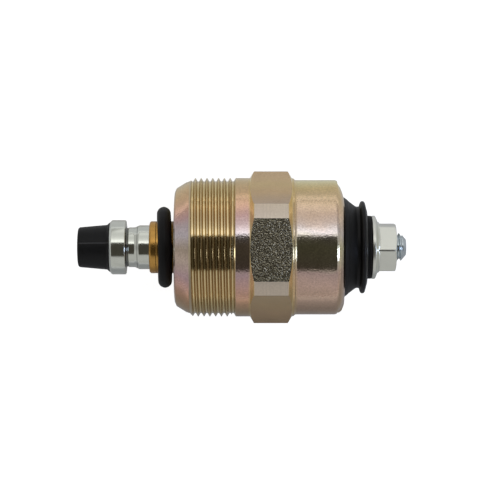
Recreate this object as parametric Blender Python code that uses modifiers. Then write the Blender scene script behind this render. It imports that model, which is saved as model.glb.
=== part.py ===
"""Fuel shutoff solenoid of a diesel injection pump: a pull-in plunger valve in a threaded steel can.

The solenoid lies on one flat of its hexagon. Its axis runs along +X, from the rubber valve tip to the
terminal, and the origin is on the surface it lies on, under the middle of its length.

Outlines of turned pieces are (station, radius) pairs. A station is a distance along the axis from the
front face of the housing, positive towards the terminal.
"""

import math

import bmesh
import bpy
from mathutils import Matrix

MM = 0.001

# Fits
SEAT = 0.05 * MM  # left between two faces that bear on each other
SLIP = 0.10 * MM  # radial clearance of a piece in or over its neighbour
LOOSE = 0.15 * MM  # radial clearance of a piece dropped into the can

# Housing, turned from hexagonal bar. It is as wide as the coil in it needs: with the sizes given here
# the thread is 24 mm across its crests, and the hexagon 24 mm across its flats.
THREAD_PITCH = 1.0 * MM
NOSE_LENGTH = 2.6 * MM
NOSE_CHAMFER_RISE = 1.2 * MM
NOSE_DROP = 0.05 * MM  # by which the nose stays under the root of the thread
THREAD_LENGTH = 7.85 * MM
SHOULDER_LENGTH = 2.5 * MM
HEX_CORNER_CUT = 0.68 * MM  # turned off each corner of the bar
HEX_LENGTH = 7.2 * MM
HEX_CHAMFER = math.radians(30)
CAN_STEP = 0.37 * MM  # from the flats of the hexagon down to the can
CAN_LENGTH = 9.05 * MM
CAN_ROOT_FILLET = 0.75 * MM
FRONT_WALL = 3.0 * MM
SIDE_WALL = 1.6 * MM
RIM_THICKNESS = 1.2 * MM
RIM_LAP = 1.05 * MM  # by which the rolled rim reaches over what it holds
RIM_ROUND = 2.6 * MM

# Plunger and its rubber tip
PLUNGER_DIAMETER = 7.6 * MM
PLUNGER_ENGAGED = 13.6 * MM  # length inside the guide sleeve at rest
PLUNGER_SHOWN = 4.05 * MM  # from the sleeve's mouth to the collar at rest
STROKE = 2.5 * MM
NECK_DEPTH = 0.36 * MM
NECK_LENGTH = 1.6 * MM
NECK_RAMP = 0.7 * MM
UNDERCUT_DEPTH = 0.11 * MM
UNDERCUT_LENGTH = 0.4 * MM
COLLAR_DIAMETER = 9.4 * MM
COLLAR_LENGTH = 2.8 * MM
COLLAR_CHAMFER = 0.4 * MM
PLUNGER_END_CHAMFER = 0.2 * MM
SPIGOT_DIAMETER = 3.2 * MM
SPIGOT_LENGTH = 3.2 * MM
SPIGOT_HEAD_DIAMETER = 4.4 * MM
SPIGOT_HEAD_LENGTH = 1.2 * MM
TIP_LENGTH = 5.5 * MM
TIP_FRONT_DIAMETER = 6.95 * MM
TIP_REAR_DIAMETER = 7.75 * MM
TIP_FLARE = 0.45 * MM
TIP_ROUND = 0.45 * MM

# Guide sleeve and the O-ring on it
SLEEVE_WALL = 0.6 * MM
SLEEVE_SHOWN = 4.4 * MM
SLEEVE_MOUTH_ROUND = 0.4 * MM
SLEEVE_FLANGE_WIDTH = 1.5 * MM
SLEEVE_FLANGE_THICKNESS = 0.8 * MM
NOSE_RING_SECTION = 2.4 * MM
NOSE_RING_STAND_OFF = 0.65 * MM  # it sits this far off the housing
NOSE_RING_TILT = math.radians(1.0)  # to the front on its +Y side
NOSE_RING_LEAN = math.radians(3.0)  # to the rear at its top
NOSE_RECESS_DEPTH = 0.3 * MM
NOSE_RECESS_MARGIN = 0.35 * MM

# Return spring
SPRING_WIRE = 0.5 * MM
SPRING_OUTER_DIAMETER = 4.0 * MM
SPRING_BORE_DEPTH = 7.5 * MM
SPRING_POCKET_DEPTH = 2.4 * MM
SPRING_ROOM = 0.3 * MM  # radial, around the spring in its bore
SPRING_TURNS = 6.5

# Fixed core, its shim and its O-ring
CORE_SHIM_THICKNESS = 0.3 * MM
CORE_RING_SECTION = 1.0 * MM
CORE_LAND = 0.5 * MM
CORE_RIVET_DIAMETER = 6.0 * MM
CORE_RIVET_FLARE = 0.5 * MM

# Coil
BOBBIN_HUB_WALL = 1.0 * MM
BOBBIN_FRONT_FLANGE = 1.6 * MM
BOBBIN_REAR_FLANGE = 1.0 * MM
WINDING_DEPTH = 3.04 * MM
WINDING_INSET = 0.9 * MM  # from the rim of the bobbin down to the top of the winding
WINDING_PITCH = 2.3 * MM
WINDING_GROOVE = 0.3 * MM
WRAP_THICKNESS = 0.25 * MM
CUSHION_THICKNESS = 0.8 * MM
LEAD_DIAMETER = 0.8 * MM
LEAD_HOLE_DIAMETER = 1.3 * MM
LEAD_BEND = 0.9 * MM

# Rear end
REAR_PLATE_THICKNESS = 2.0 * MM
REAR_SEAL_SECTION = 1.1 * MM
INSULATOR_FLANGE = 2.6 * MM
INSULATOR_BOSS_DIAMETER = 10.9 * MM
LEAD_ROOM_DEPTH = 1.2 * MM
LEAD_ROOM_MARGIN = 0.3 * MM
BOOT_FLANGE = 0.75 * MM
BOOT_CONE_LENGTH = 2.05 * MM
BOOT_WALL = 1.5 * MM  # at the neck
BOOT_NECK_LENGTH = 0.35 * MM
BOOT_LIP_RISE = 0.95 * MM
BOOT_LIP_THICKNESS = 1.5 * MM
BOOT_LIP_ROUND = 0.55 * MM
BOOT_LIP_CREST = 0.7 * MM  # from the front of the lip back to its highest line
BOOT_END_FALL = 0.2 * MM  # the end face leans back this much towards the lip
BOOT_END_LAND = 0.6 * MM
TERMINAL_WASHER_THICKNESS = 0.7 * MM

# Terminal stud and nut
STUD_DIAMETER = 4.9 * MM
STUD_HEAD_ACROSS_FLATS = 7.0 * MM
STUD_HEAD_THICKNESS = 1.7 * MM
STUD_BEYOND_NUT = 1.75 * MM
STUD_POINT_LENGTH = 0.9 * MM
STUD_POINT_DIAMETER = 2.4 * MM
NUT_ACROSS_FLATS = 7.78 * MM
NUT_FLANGE_DIAMETER = 10.95 * MM
NUT_FLANGE_RIM = 0.55 * MM
NUT_FLANGE_SLOPE = 0.5 * MM
NUT_HEX_LENGTH = 3.2 * MM
NUT_CORNER_CUT = 0.075 * MM
NUT_CHAMFER = math.radians(30)
NUT_TURN = math.radians(35)  # how far round the nut came to rest when it was tightened

# Facets round a turned piece, and the finish of each mesh
HOUSING_SIDES = 36  # a multiple of 6, so that each flat of the bar faces the middle of a facet
SHOWN_SIDES = 24
INNER_SIDES = 20
BOOT_SIDES = 28
WELD = 0.002 * MM
SHARP_ANGLE = math.radians(30)

# Radii that follow from the sizes above
plunger_radius = PLUNGER_DIAMETER / 2
sleeve_bore = plunger_radius + SLIP
sleeve_radius = sleeve_bore + SLEEVE_WALL
sleeve_flange_radius = sleeve_radius + SLEEVE_FLANGE_WIDTH
bobbin_bore = sleeve_radius + SLIP
bobbin_hub_radius = bobbin_bore + BOBBIN_HUB_WALL
winding_bore = bobbin_hub_radius + SLIP
winding_radius = winding_bore + WINDING_DEPTH
bobbin_radius = winding_radius + WINDING_INSET
cavity_radius = bobbin_radius + LOOSE
rim_radius = cavity_radius - RIM_LAP
root_radius = cavity_radius + SIDE_WALL
thread_depth = 0.61 * THREAD_PITCH  # the standard form of a metric thread
thread_crest = THREAD_PITCH / 8
thread_radius = root_radius + thread_depth
nose_radius = root_radius - NOSE_DROP
nose_face_radius = nose_radius - NOSE_CHAMFER_RISE
flat_radius = thread_radius  # the flats are level with the crests of the thread
corner_radius = flat_radius / math.cos(math.radians(30)) - HEX_CORNER_CUT
can_radius = flat_radius - CAN_STEP
nose_ring_radius = sleeve_radius + SLIP + NOSE_RING_SECTION / 2
nose_recess_radius = nose_ring_radius + NOSE_RING_SECTION / 2 + NOSE_RECESS_MARGIN
spring_bore = SPRING_OUTER_DIAMETER / 2 + SPRING_ROOM
core_tip_radius = sleeve_bore - SLIP
core_groove_radius = core_tip_radius - CORE_RING_SECTION - SLIP
lead_circle_radius = bobbin_hub_radius + SLIP + LEAD_HOLE_DIAMETER / 2
rivet_radius = CORE_RIVET_DIAMETER / 2
boss_radius = INSULATOR_BOSS_DIAMETER / 2
boot_bore = boss_radius + SLIP
boot_neck_radius = boot_bore + BOOT_WALL
stud_radius = STUD_DIAMETER / 2

# Stations along the axis, from the front face of the housing
thread_start = NOSE_LENGTH
thread_end = thread_start + THREAD_LENGTH
hex_start = thread_end + SHOULDER_LENGTH
hex_end = hex_start + HEX_LENGTH
can_end = hex_end + CAN_LENGTH
rim_inside = can_end - RIM_THICKNESS
boot_flange_rear = rim_inside - SEAT
boot_flange_front = boot_flange_rear - BOOT_FLANGE
insulator_flange_rear = boot_flange_front - SEAT
insulator_front = insulator_flange_rear - INSULATOR_FLANGE
plate_rear = insulator_front - SEAT
plate_front = plate_rear - REAR_PLATE_THICKNESS
cushion_rear = plate_front - SEAT
cushion_front = cushion_rear - CUSHION_THICKNESS
bobbin_rear = cushion_front - SEAT
bobbin_front = FRONT_WALL + SEAT
winding_front = bobbin_front + BOBBIN_FRONT_FLANGE + SEAT
winding_rear = bobbin_rear - BOBBIN_REAR_FLANGE - SEAT
sleeve_mouth = -SLEEVE_SHOWN
plunger_rear = sleeve_mouth + PLUNGER_ENGAGED
collar_rear = sleeve_mouth - PLUNGER_SHOWN
collar_front = collar_rear - COLLAR_LENGTH
tip_front = collar_front - TIP_LENGTH
shim_front = plunger_rear + STROKE + SEAT
core_front = shim_front + CORE_SHIM_THICKNESS + SEAT
spring_front = plunger_rear - SPRING_BORE_DEPTH
spring_rear = core_front + SPRING_POCKET_DEPTH
core_groove_front = spring_rear + 2 * SLIP
core_groove_rear = core_groove_front + CORE_RING_SECTION + 2 * SLIP
sleeve_rear = core_groove_rear + CORE_LAND
boot_cone_end = can_end + BOOT_CONE_LENGTH
boot_lip_front = boot_cone_end + BOOT_NECK_LENGTH
boot_rear = boot_lip_front + BOOT_LIP_THICKNESS
washer_front = boot_rear + SEAT
washer_rear = washer_front + TERMINAL_WASHER_THICKNESS
nut_front = washer_rear + SEAT
nut_hex_front = nut_front + NUT_FLANGE_RIM + NUT_FLANGE_SLOPE
nut_rear = nut_hex_front + NUT_HEX_LENGTH
stud_end = nut_rear + STUD_BEYOND_NUT
stud_head_front = insulator_front + LEAD_ROOM_DEPTH
stud_head_rear = stud_head_front + STUD_HEAD_THICKNESS
middle = (tip_front + stud_end) / 2


def clear_scene():
    """Empties the scene, so that the script gives the same model each time it runs."""
    for obj in list(bpy.data.objects):
        bpy.data.objects.remove(obj)


def new_collection(name):
    """A collection linked to the scene."""
    made = bpy.data.collections.new(name)
    bpy.context.scene.collection.children.link(made)
    return made


def new_empty(name, location=(0, 0, 0), rotation=(0, 0, 0), parent=None):
    """An empty that carries other objects."""
    empty = bpy.data.objects.new(name, None)
    empty.location = location
    empty.rotation_euler = rotation
    empty.parent = parent
    pieces.objects.link(empty)
    return empty


def new_material(name, colour, roughness, metallic=0.0):
    """A Principled material of one plain colour."""
    made = bpy.data.materials.new(name)
    made.use_nodes = True
    shader = made.node_tree.nodes["Principled BSDF"]
    shader.inputs["Base Color"].default_value = (*colour, 1.0)
    shader.inputs["Roughness"].default_value = roughness
    shader.inputs["Metallic"].default_value = metallic
    made.diffuse_color = (*colour, 1.0)
    return made


def settle(obj, name, group):
    """Names the object and moves it to the collection of pieces or of cutters."""
    obj.name = name
    for collection in list(obj.users_collection):
        collection.objects.unlink(obj)
    group.objects.link(obj)
    if group == cutters:
        obj.hide_render = True
        obj.display_type = "WIRE"
    return obj


def finish(obj, material, parent):
    """Gives a piece its material and hangs it on the empty that carries it."""
    obj.data.materials.clear()
    obj.data.materials.append(material)
    obj.parent = parent
    return obj


def bake(obj):
    """Applies a piece's modifiers, clears slivers, and shades it smooth but for sharp edges.

    The cuts leave faces with corners that lie almost in line. Splitting those faces into triangles
    brings the slivers out, and a second round takes away those that the first one opened.
    """
    graph = bpy.context.evaluated_depsgraph_get()
    mesh = bpy.data.meshes.new_from_object(obj.evaluated_get(graph))
    shape = bmesh.new()
    shape.from_mesh(mesh)
    bmesh.ops.remove_doubles(shape, verts=shape.verts, dist=WELD)
    for _ in range(2):
        bmesh.ops.triangulate(shape, faces=shape.faces)
        bmesh.ops.dissolve_degenerate(shape, edges=shape.edges, dist=WELD)
    shape.to_mesh(mesh)
    shape.free()
    obj.modifiers.clear()
    obj.data = mesh
    mesh.shade_smooth()
    mesh.set_sharp_from_angle(angle=SHARP_ANGLE)


def turned(name, outline, sides, group=None):
    """A body turned about the local Z axis from an outline of (station, radius) pairs.

    The outline goes along the outside from front to rear. One that starts and ends on the axis is
    solid, and any other is closed back along its bore. A facet, not an edge, faces straight down.
    """
    solid = outline[0][1] == 0 and outline[-1][1] == 0
    points = [(radius, 0, station) for station, radius in reversed(outline)]
    count = len(points)
    edges = [(i, (i + 1) % count) for i in range(count - 1 if solid else count)]
    mesh = bpy.data.meshes.new(name)
    mesh.from_pydata(points, edges, [])
    obj = bpy.data.objects.new(name, mesh)
    (group or pieces).objects.link(obj)
    screw = obj.modifiers.new("Turn", "SCREW")
    screw.axis = "Z"
    screw.angle = math.tau
    screw.steps = screw.render_steps = sides
    screw.use_merge_vertices = True
    screw.merge_threshold = 0.00001
    obj.rotation_euler.z = math.pi / sides
    if group == cutters:
        settle(obj, name, cutters)
    return obj


def arc(station, radius, size, start, end, steps):
    """Points of an arc of an outline. An angle of 0 points to the rear and 90 degrees outwards."""
    made = []
    for i in range(steps + 1):
        angle = math.radians(start + (end - start) * i / steps)
        made.append((station + size * math.cos(angle), radius + size * math.sin(angle)))
    return made


def hexagon(name, across_flats, front, rear, group):
    """A hexagonal bar along the local Z axis, with one flat facing straight down."""
    bpy.ops.mesh.primitive_cylinder_add(
        vertices=6,
        radius=across_flats / math.sqrt(3),
        depth=rear - front,
        location=(0, 0, (front + rear) / 2),
    )
    return settle(bpy.context.object, name, group)


def drill(name, radius, front, rear, at=(0, 0)):
    """A cutter for a round hole along the local Z axis."""
    bpy.ops.mesh.primitive_cylinder_add(
        vertices=16,
        radius=radius,
        depth=rear - front,
        location=(*at, (front + rear) / 2),
    )
    return settle(bpy.context.object, name, cutters)


def torus(name, radius, section, station, sides, section_sides, tilt=0.0, lean=0.0):
    """An O-ring about the local Z axis.

    A tilt carries its +Y side towards the front, and a lean carries its top towards the rear.
    """
    bpy.ops.mesh.primitive_torus_add(
        major_radius=radius,
        minor_radius=section / 2,
        major_segments=sides,
        minor_segments=section_sides,
        location=(0, 0, station),
    )
    obj = settle(bpy.context.object, name, pieces)
    obj.data.transform(Matrix.Rotation(math.pi / sides, 4, "Z"))
    obj.rotation_euler = (-tilt, lean, 0)
    return obj


def combine(obj, other, operation):
    """A Boolean between a piece and a cutter that hangs on the same empty."""
    other.parent = obj.parent
    boolean = obj.modifiers.new(f"{operation.title()} {other.name}", "BOOLEAN")
    boolean.operation = operation
    boolean.object = other
    boolean.solver = "EXACT"
    return obj


def wire(name, points, diameter):
    """A round wire along a list of points."""
    curve = bpy.data.curves.new(name, "CURVE")
    curve.dimensions = "3D"
    curve.bevel_depth = diameter / 2
    curve.bevel_resolution = 2
    curve.use_fill_caps = True
    spline = curve.splines.new("POLY")
    spline.points.add(len(points) - 1)
    for point, place in zip(spline.points, points):
        point.co = (*place, 1)
    obj = bpy.data.objects.new(name, curve)
    pieces.objects.link(obj)
    return obj


def housing_outline():
    """The turned blank of the housing, before its flats and thread are cut."""
    front_chamfer = (corner_radius - thread_radius) * math.tan(HEX_CHAMFER)
    rear_chamfer = (corner_radius - flat_radius) * math.tan(HEX_CHAMFER)
    lead_in = thread_radius - nose_radius
    outside = [
        (0, nose_face_radius),
        (thread_start, nose_radius),
        (thread_start + lead_in, thread_radius),
        (hex_start, thread_radius),
        (hex_start + front_chamfer, corner_radius),
        (hex_end - rear_chamfer, corner_radius),
        (hex_end, flat_radius),
        (hex_end + CAN_ROOT_FILLET / 3, (flat_radius + 2 * can_radius) / 3),
        (hex_end + CAN_ROOT_FILLET, can_radius),
        *arc(can_end - RIM_ROUND, can_radius - RIM_ROUND, RIM_ROUND, 90, 0, 5),
        (can_end, rim_radius),
    ]
    inside = [
        (rim_inside, rim_radius),
        (rim_inside, cavity_radius),
        (FRONT_WALL, cavity_radius),
        (FRONT_WALL, sleeve_radius + SLIP),
        (NOSE_RECESS_DEPTH, sleeve_radius + SLIP),
        (NOSE_RECESS_DEPTH, nose_recess_radius),
        (0, nose_recess_radius),
    ]
    return outside + inside


def thread_groove():
    """The helical groove of the thread: a triangle carried round the axis and along it."""
    width = THREAD_PITCH - thread_crest
    proud = thread_depth / 4
    reach = width / 2 * (thread_depth + proud) / thread_depth
    first = thread_start - THREAD_PITCH / 4
    steps = round((thread_end - width / 2 - first) / THREAD_PITCH * HOUSING_SIDES)
    mesh = bpy.data.meshes.new("thread_groove")
    shape = bmesh.new()
    corners = [
        shape.verts.new((root_radius, 0, first)),
        shape.verts.new((thread_radius + proud, 0, first - reach)),
        shape.verts.new((thread_radius + proud, 0, first + reach)),
    ]
    section = shape.faces.new(corners)
    bmesh.ops.spin(
        shape,
        geom=[section, *section.verts, *section.edges],
        cent=(0, 0, 0),
        axis=(0, 0, 1),
        dvec=(0, 0, THREAD_PITCH / HOUSING_SIDES),
        angle=math.tau * steps / HOUSING_SIDES,
        steps=steps,
    )
    bmesh.ops.recalc_face_normals(shape, faces=shape.faces)
    shape.to_mesh(mesh)
    shape.free()
    groove = bpy.data.objects.new("thread_groove", mesh)
    groove.rotation_euler.z = math.pi / HOUSING_SIDES
    cutters.objects.link(groove)
    return settle(groove, "thread_groove", cutters)


def make_housing():
    """The steel body: nose, thread, shoulder, hexagon and can, with the can's rim rolled in."""
    housing = turned("housing", housing_outline(), HOUSING_SIDES)
    steel = new_material("yellow_zinc_steel", (0.60, 0.51, 0.36), 0.30, 0.9)
    finish(housing, steel, axis)
    spare = 2 * MM
    bar = hexagon("hexagonal_bar", 2 * flat_radius, -spare, can_end + spare, cutters)
    combine(housing, bar, "INTERSECT")
    combine(housing, thread_groove(), "DIFFERENCE")
    return housing


def make_guide_sleeve():
    """The brass tube in which the plunger slides, held by a flange behind the front wall."""
    flange_front = FRONT_WALL + SEAT
    flange_rear = flange_front + SLEEVE_FLANGE_THICKNESS
    mouth = SLEEVE_MOUTH_ROUND
    outline = [
        *arc(sleeve_mouth + mouth, sleeve_radius - mouth, mouth, 180, 90, 3),
        (flange_front, sleeve_radius),
        (flange_front, sleeve_flange_radius),
        (flange_rear, sleeve_flange_radius),
        (flange_rear, sleeve_radius),
        (sleeve_rear, sleeve_radius),
        (sleeve_rear, sleeve_bore),
        (sleeve_mouth, sleeve_bore),
    ]
    sleeve = turned("guide_sleeve", outline, SHOWN_SIDES)
    return finish(sleeve, new_material("brass", (0.72, 0.42, 0.13), 0.30, 1.0), axis)


def make_nose_o_ring():
    """The loose O-ring that seals the solenoid in the pump, sitting slightly askew on the sleeve."""
    station = -NOSE_RING_STAND_OFF - NOSE_RING_SECTION / 2
    ring = torus(
        "nose_o_ring",
        nose_ring_radius,
        NOSE_RING_SECTION,
        station,
        BOOT_SIDES,
        10,
        NOSE_RING_TILT,
        NOSE_RING_LEAN,
    )
    return finish(ring, new_material("nose_ring_rubber", (0.02, 0.02, 0.02), 0.55), axis)


def make_plunger():
    """The armature: collar, neck and body, a headed spigot for the tip and a bore for the spring."""
    spigot_front = collar_front - SPIGOT_LENGTH
    spigot_neck = spigot_front + SPIGOT_HEAD_LENGTH
    neck_start = collar_rear + UNDERCUT_LENGTH
    neck_end = neck_start + NECK_LENGTH - UNDERCUT_LENGTH
    neck_radius = plunger_radius - NECK_DEPTH
    collar_radius = COLLAR_DIAMETER / 2
    outline = [
        (spigot_front, 0),
        (spigot_front, SPIGOT_HEAD_DIAMETER / 2),
        (spigot_neck, SPIGOT_HEAD_DIAMETER / 2),
        (spigot_neck, SPIGOT_DIAMETER / 2),
        (collar_front, SPIGOT_DIAMETER / 2),
        (collar_front, collar_radius - COLLAR_CHAMFER),
        (collar_front + COLLAR_CHAMFER, collar_radius),
        (collar_rear, collar_radius),
        (collar_rear, neck_radius - UNDERCUT_DEPTH),
        (neck_start, neck_radius),
        (neck_end, neck_radius),
        (neck_end + NECK_RAMP, plunger_radius),
        (plunger_rear - PLUNGER_END_CHAMFER, plunger_radius),
        (plunger_rear, plunger_radius - PLUNGER_END_CHAMFER),
        (plunger_rear, spring_bore),
        (spring_front, spring_bore),
        (spring_front, 0),
    ]
    plunger = turned("plunger", outline, SHOWN_SIDES)
    return finish(plunger, new_material("plunger_zinc", (0.66, 0.68, 0.66), 0.25, 1.0), slide)


def make_plunger_tip():
    """The rubber valve tip, moulded over the plunger's spigot."""
    front_radius = TIP_FRONT_DIAMETER / 2
    pocket_front = collar_front - SPIGOT_LENGTH - SEAT
    pocket_neck = collar_front - SPIGOT_LENGTH + SPIGOT_HEAD_LENGTH + SEAT
    rear = collar_front - SEAT
    outline = [
        (tip_front, 0),
        *arc(tip_front + TIP_ROUND, front_radius - TIP_ROUND, TIP_ROUND, 180, 90, 3),
        (rear - TIP_FLARE, TIP_REAR_DIAMETER / 2),
        (rear, COLLAR_DIAMETER / 2 - COLLAR_CHAMFER),
        (rear, SPIGOT_DIAMETER / 2 + SEAT),
        (pocket_neck, SPIGOT_DIAMETER / 2 + SEAT),
        (pocket_neck, SPIGOT_HEAD_DIAMETER / 2 + SEAT),
        (pocket_front, SPIGOT_HEAD_DIAMETER / 2 + SEAT),
        (pocket_front, 0),
    ]
    tip = turned("plunger_tip", outline, SHOWN_SIDES)
    return finish(tip, new_material("tip_rubber", (0.025, 0.024, 0.024), 0.45), slide)


def make_return_spring():
    """The compression spring between the plunger's bore and the core's pocket, with closed ends."""
    coil_radius = (SPRING_OUTER_DIAMETER - SPRING_WIRE) / 2
    per_turn = 8
    count = round(SPRING_TURNS * per_turn)
    first = spring_front + SEAT + SPRING_WIRE / 2
    last = spring_rear - SEAT - SPRING_WIRE / 2
    end_turn = 1.0
    end_rise = 1.25 * SPRING_WIRE
    points = []
    for i in range(count + 1):
        turn = i / per_turn
        from_end = min(turn, SPRING_TURNS - turn)
        if from_end <= end_turn:
            rise = end_rise * from_end / end_turn
            station = first + rise if turn < SPRING_TURNS / 2 else last - rise
        else:
            share = (turn - end_turn) / (SPRING_TURNS - 2 * end_turn)
            station = first + end_rise + (last - first - 2 * end_rise) * share
        angle = math.tau * turn
        points.append((coil_radius * math.cos(angle), coil_radius * math.sin(angle), station))
    spring = wire("return_spring", points, SPRING_WIRE)
    return finish(spring, new_material("spring_steel", (0.45, 0.45, 0.46), 0.35, 1.0), axis)


def make_fixed_core():
    """The pole that pulls the plunger in, with a pocket for the spring and a flush rivet."""
    body_rear = plate_front - SEAT
    end = plate_rear - SEAT
    flare_front = end - CORE_RIVET_FLARE
    outline = [
        (spring_rear, 0),
        (spring_rear, spring_bore),
        (core_front, spring_bore),
        (core_front, core_tip_radius),
        (core_groove_front, core_tip_radius),
        (core_groove_front, core_groove_radius),
        (core_groove_rear, core_groove_radius),
        (core_groove_rear, core_tip_radius),
        (sleeve_rear + SEAT, core_tip_radius),
        (sleeve_rear + SEAT, sleeve_radius),
        (body_rear, sleeve_radius),
        (body_rear, rivet_radius),
        (flare_front, rivet_radius),
        (end, rivet_radius + CORE_RIVET_FLARE),
        (end, 0),
    ]
    core = turned("fixed_core", outline, INNER_SIDES)
    return finish(core, new_material("core_steel", (0.48, 0.48, 0.47), 0.40, 1.0), axis)


def make_core_shim():
    """The brass shim that keeps the plunger from sticking to the core."""
    rear = shim_front + CORE_SHIM_THICKNESS
    outer = core_tip_radius
    inner = spring_bore
    outline = [(shim_front, outer), (rear, outer), (rear, inner), (shim_front, inner)]
    shim = turned("core_shim", outline, INNER_SIDES)
    return finish(shim, new_material("shim_brass", (0.75, 0.55, 0.20), 0.35, 1.0), axis)


def make_core_o_ring():
    """The O-ring that seals the core in the guide sleeve."""
    radius = core_groove_radius + SLIP / 2 + CORE_RING_SECTION / 2
    station = (core_groove_front + core_groove_rear) / 2
    ring = torus("core_o_ring", radius, CORE_RING_SECTION, station, INNER_SIDES, 8)
    return finish(ring, new_material("core_ring_rubber", (0.03, 0.03, 0.03), 0.6), axis)


def lead_holes(front, rear, name):
    """Cutters for the two holes through which the leads of the coil pass."""
    return [
        drill(f"{name}_{side}", LEAD_HOLE_DIAMETER / 2, front, rear, (0, way * lead_circle_radius))
        for side, way in (("live_hole", 1), ("ground_hole", -1))
    ]


def make_coil_bobbin():
    """The plastic spool of the coil, counterbored in front for the flange of the sleeve."""
    counterbore = bobbin_front + SLEEVE_FLANGE_THICKNESS + SEAT
    front_flange = bobbin_front + BOBBIN_FRONT_FLANGE
    rear_flange = bobbin_rear - BOBBIN_REAR_FLANGE
    outline = [
        (bobbin_front, bobbin_radius),
        (front_flange, bobbin_radius),
        (front_flange, bobbin_hub_radius),
        (rear_flange, bobbin_hub_radius),
        (rear_flange, bobbin_radius),
        (bobbin_rear, bobbin_radius),
        (bobbin_rear, bobbin_bore),
        (counterbore, bobbin_bore),
        (counterbore, sleeve_flange_radius + SLIP),
        (bobbin_front, sleeve_flange_radius + SLIP),
    ]
    bobbin = turned("coil_bobbin", outline, INNER_SIDES)
    finish(bobbin, new_material("bobbin_nylon", (0.75, 0.70, 0.58), 0.5), axis)
    spare = BOBBIN_REAR_FLANGE / 4
    for hole in lead_holes(rear_flange - spare, bobbin_rear + spare, "bobbin"):
        combine(bobbin, hole, "DIFFERENCE")
    return bobbin


def make_coil_winding():
    """The winding, with the turns of its outer layer."""
    turns = round((winding_rear - winding_front) / WINDING_PITCH)
    pitch = (winding_rear - winding_front) / turns
    outline = [(winding_front, winding_radius - WINDING_GROOVE)]
    for turn in range(turns):
        start = winding_front + turn * pitch
        outline.append((start + pitch / 2, winding_radius))
        outline.append((start + pitch, winding_radius - WINDING_GROOVE))
    outline += [
        (winding_rear, winding_bore),
        (winding_front, winding_bore),
    ]
    winding = turned("coil_winding", outline, INNER_SIDES)
    return finish(winding, new_material("enamelled_copper", (0.60, 0.23, 0.09), 0.35, 0.9), axis)


def make_coil_wrap():
    """The insulating tape round the winding."""
    inner = winding_radius + SLIP
    outer = inner + WRAP_THICKNESS
    outline = [
        (winding_front, outer),
        (winding_rear, outer),
        (winding_rear, inner),
        (winding_front, inner),
    ]
    wrap = turned("coil_wrap", outline, INNER_SIDES)
    return finish(wrap, new_material("wrap_tape", (0.75, 0.62, 0.28), 0.45), axis)


def make_coil_cushion():
    """The rubber ring that presses the bobbin forwards and keeps it from rattling."""
    outer = bobbin_radius
    inner = lead_circle_radius + LEAD_HOLE_DIAMETER / 2
    outline = [
        (cushion_front, outer),
        (cushion_rear, outer),
        (cushion_rear, inner),
        (cushion_front, inner),
    ]
    cushion = turned("coil_cushion", outline, INNER_SIDES)
    return finish(cushion, new_material("cushion_rubber", (0.04, 0.04, 0.04), 0.7), axis)


def make_rear_plate():
    """The steel disc that closes the magnetic circuit and carries the core."""
    bore = rivet_radius + SEAT
    flare = bore + CORE_RIVET_FLARE
    radius = cavity_radius - LOOSE
    outline = [
        (plate_front, radius),
        (plate_rear, radius),
        (plate_rear, flare + SEAT),
        (plate_rear - SEAT - CORE_RIVET_FLARE, bore),
        (plate_front, bore),
    ]
    plate = turned("rear_plate", outline, INNER_SIDES)
    finish(plate, new_material("plate_steel", (0.50, 0.50, 0.50), 0.40, 1.0), axis)
    spare = REAR_PLATE_THICKNESS / 4
    for hole in lead_holes(plate_front - spare, plate_rear + spare, "plate"):
        combine(plate, hole, "DIFFERENCE")
    return plate


def make_rear_seal_ring():
    """The O-ring in the rear corner of the insulator, against the boot and the wall of the can."""
    radius = cavity_radius - LOOSE - REAR_SEAL_SECTION / 2
    station = insulator_flange_rear - REAR_SEAL_SECTION / 2
    ring = torus("rear_seal_ring", radius, REAR_SEAL_SECTION, station, SHOWN_SIDES, 8)
    return finish(ring, new_material("rear_seal_rubber", (0.03, 0.03, 0.03), 0.6), axis)


def make_terminal_insulator():
    """The moulded insulator: a flange under the rim, a boss round the stud and a pocket for its head."""
    flange_radius = cavity_radius - LOOSE
    rabbet_radius = flange_radius - REAR_SEAL_SECTION - SLIP
    rabbet_front = insulator_flange_rear - REAR_SEAL_SECTION - SLIP
    room_radius = lead_circle_radius + LEAD_DIAMETER / 2 + LEAD_ROOM_MARGIN
    outline = [
        (insulator_front, flange_radius),
        (rabbet_front, flange_radius),
        (rabbet_front, rabbet_radius),
        (insulator_flange_rear, rabbet_radius),
        (insulator_flange_rear, boss_radius),
        (boot_rear, boss_radius),
        (boot_rear, stud_radius + SLIP),
        (stud_head_front, stud_radius + SLIP),
        (stud_head_front, room_radius),
        (insulator_front, room_radius),
    ]
    insulator = turned("terminal_insulator", outline, SHOWN_SIDES)
    finish(insulator, new_material("insulator_resin", (0.03, 0.03, 0.03), 0.4), axis)
    pocket = hexagon(
        "stud_head_pocket",
        STUD_HEAD_ACROSS_FLATS + 2 * SLIP,
        stud_head_front - LEAD_ROOM_DEPTH / 2,
        stud_head_rear + SEAT,
        cutters,
    )
    return combine(insulator, pocket, "DIFFERENCE")


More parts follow.
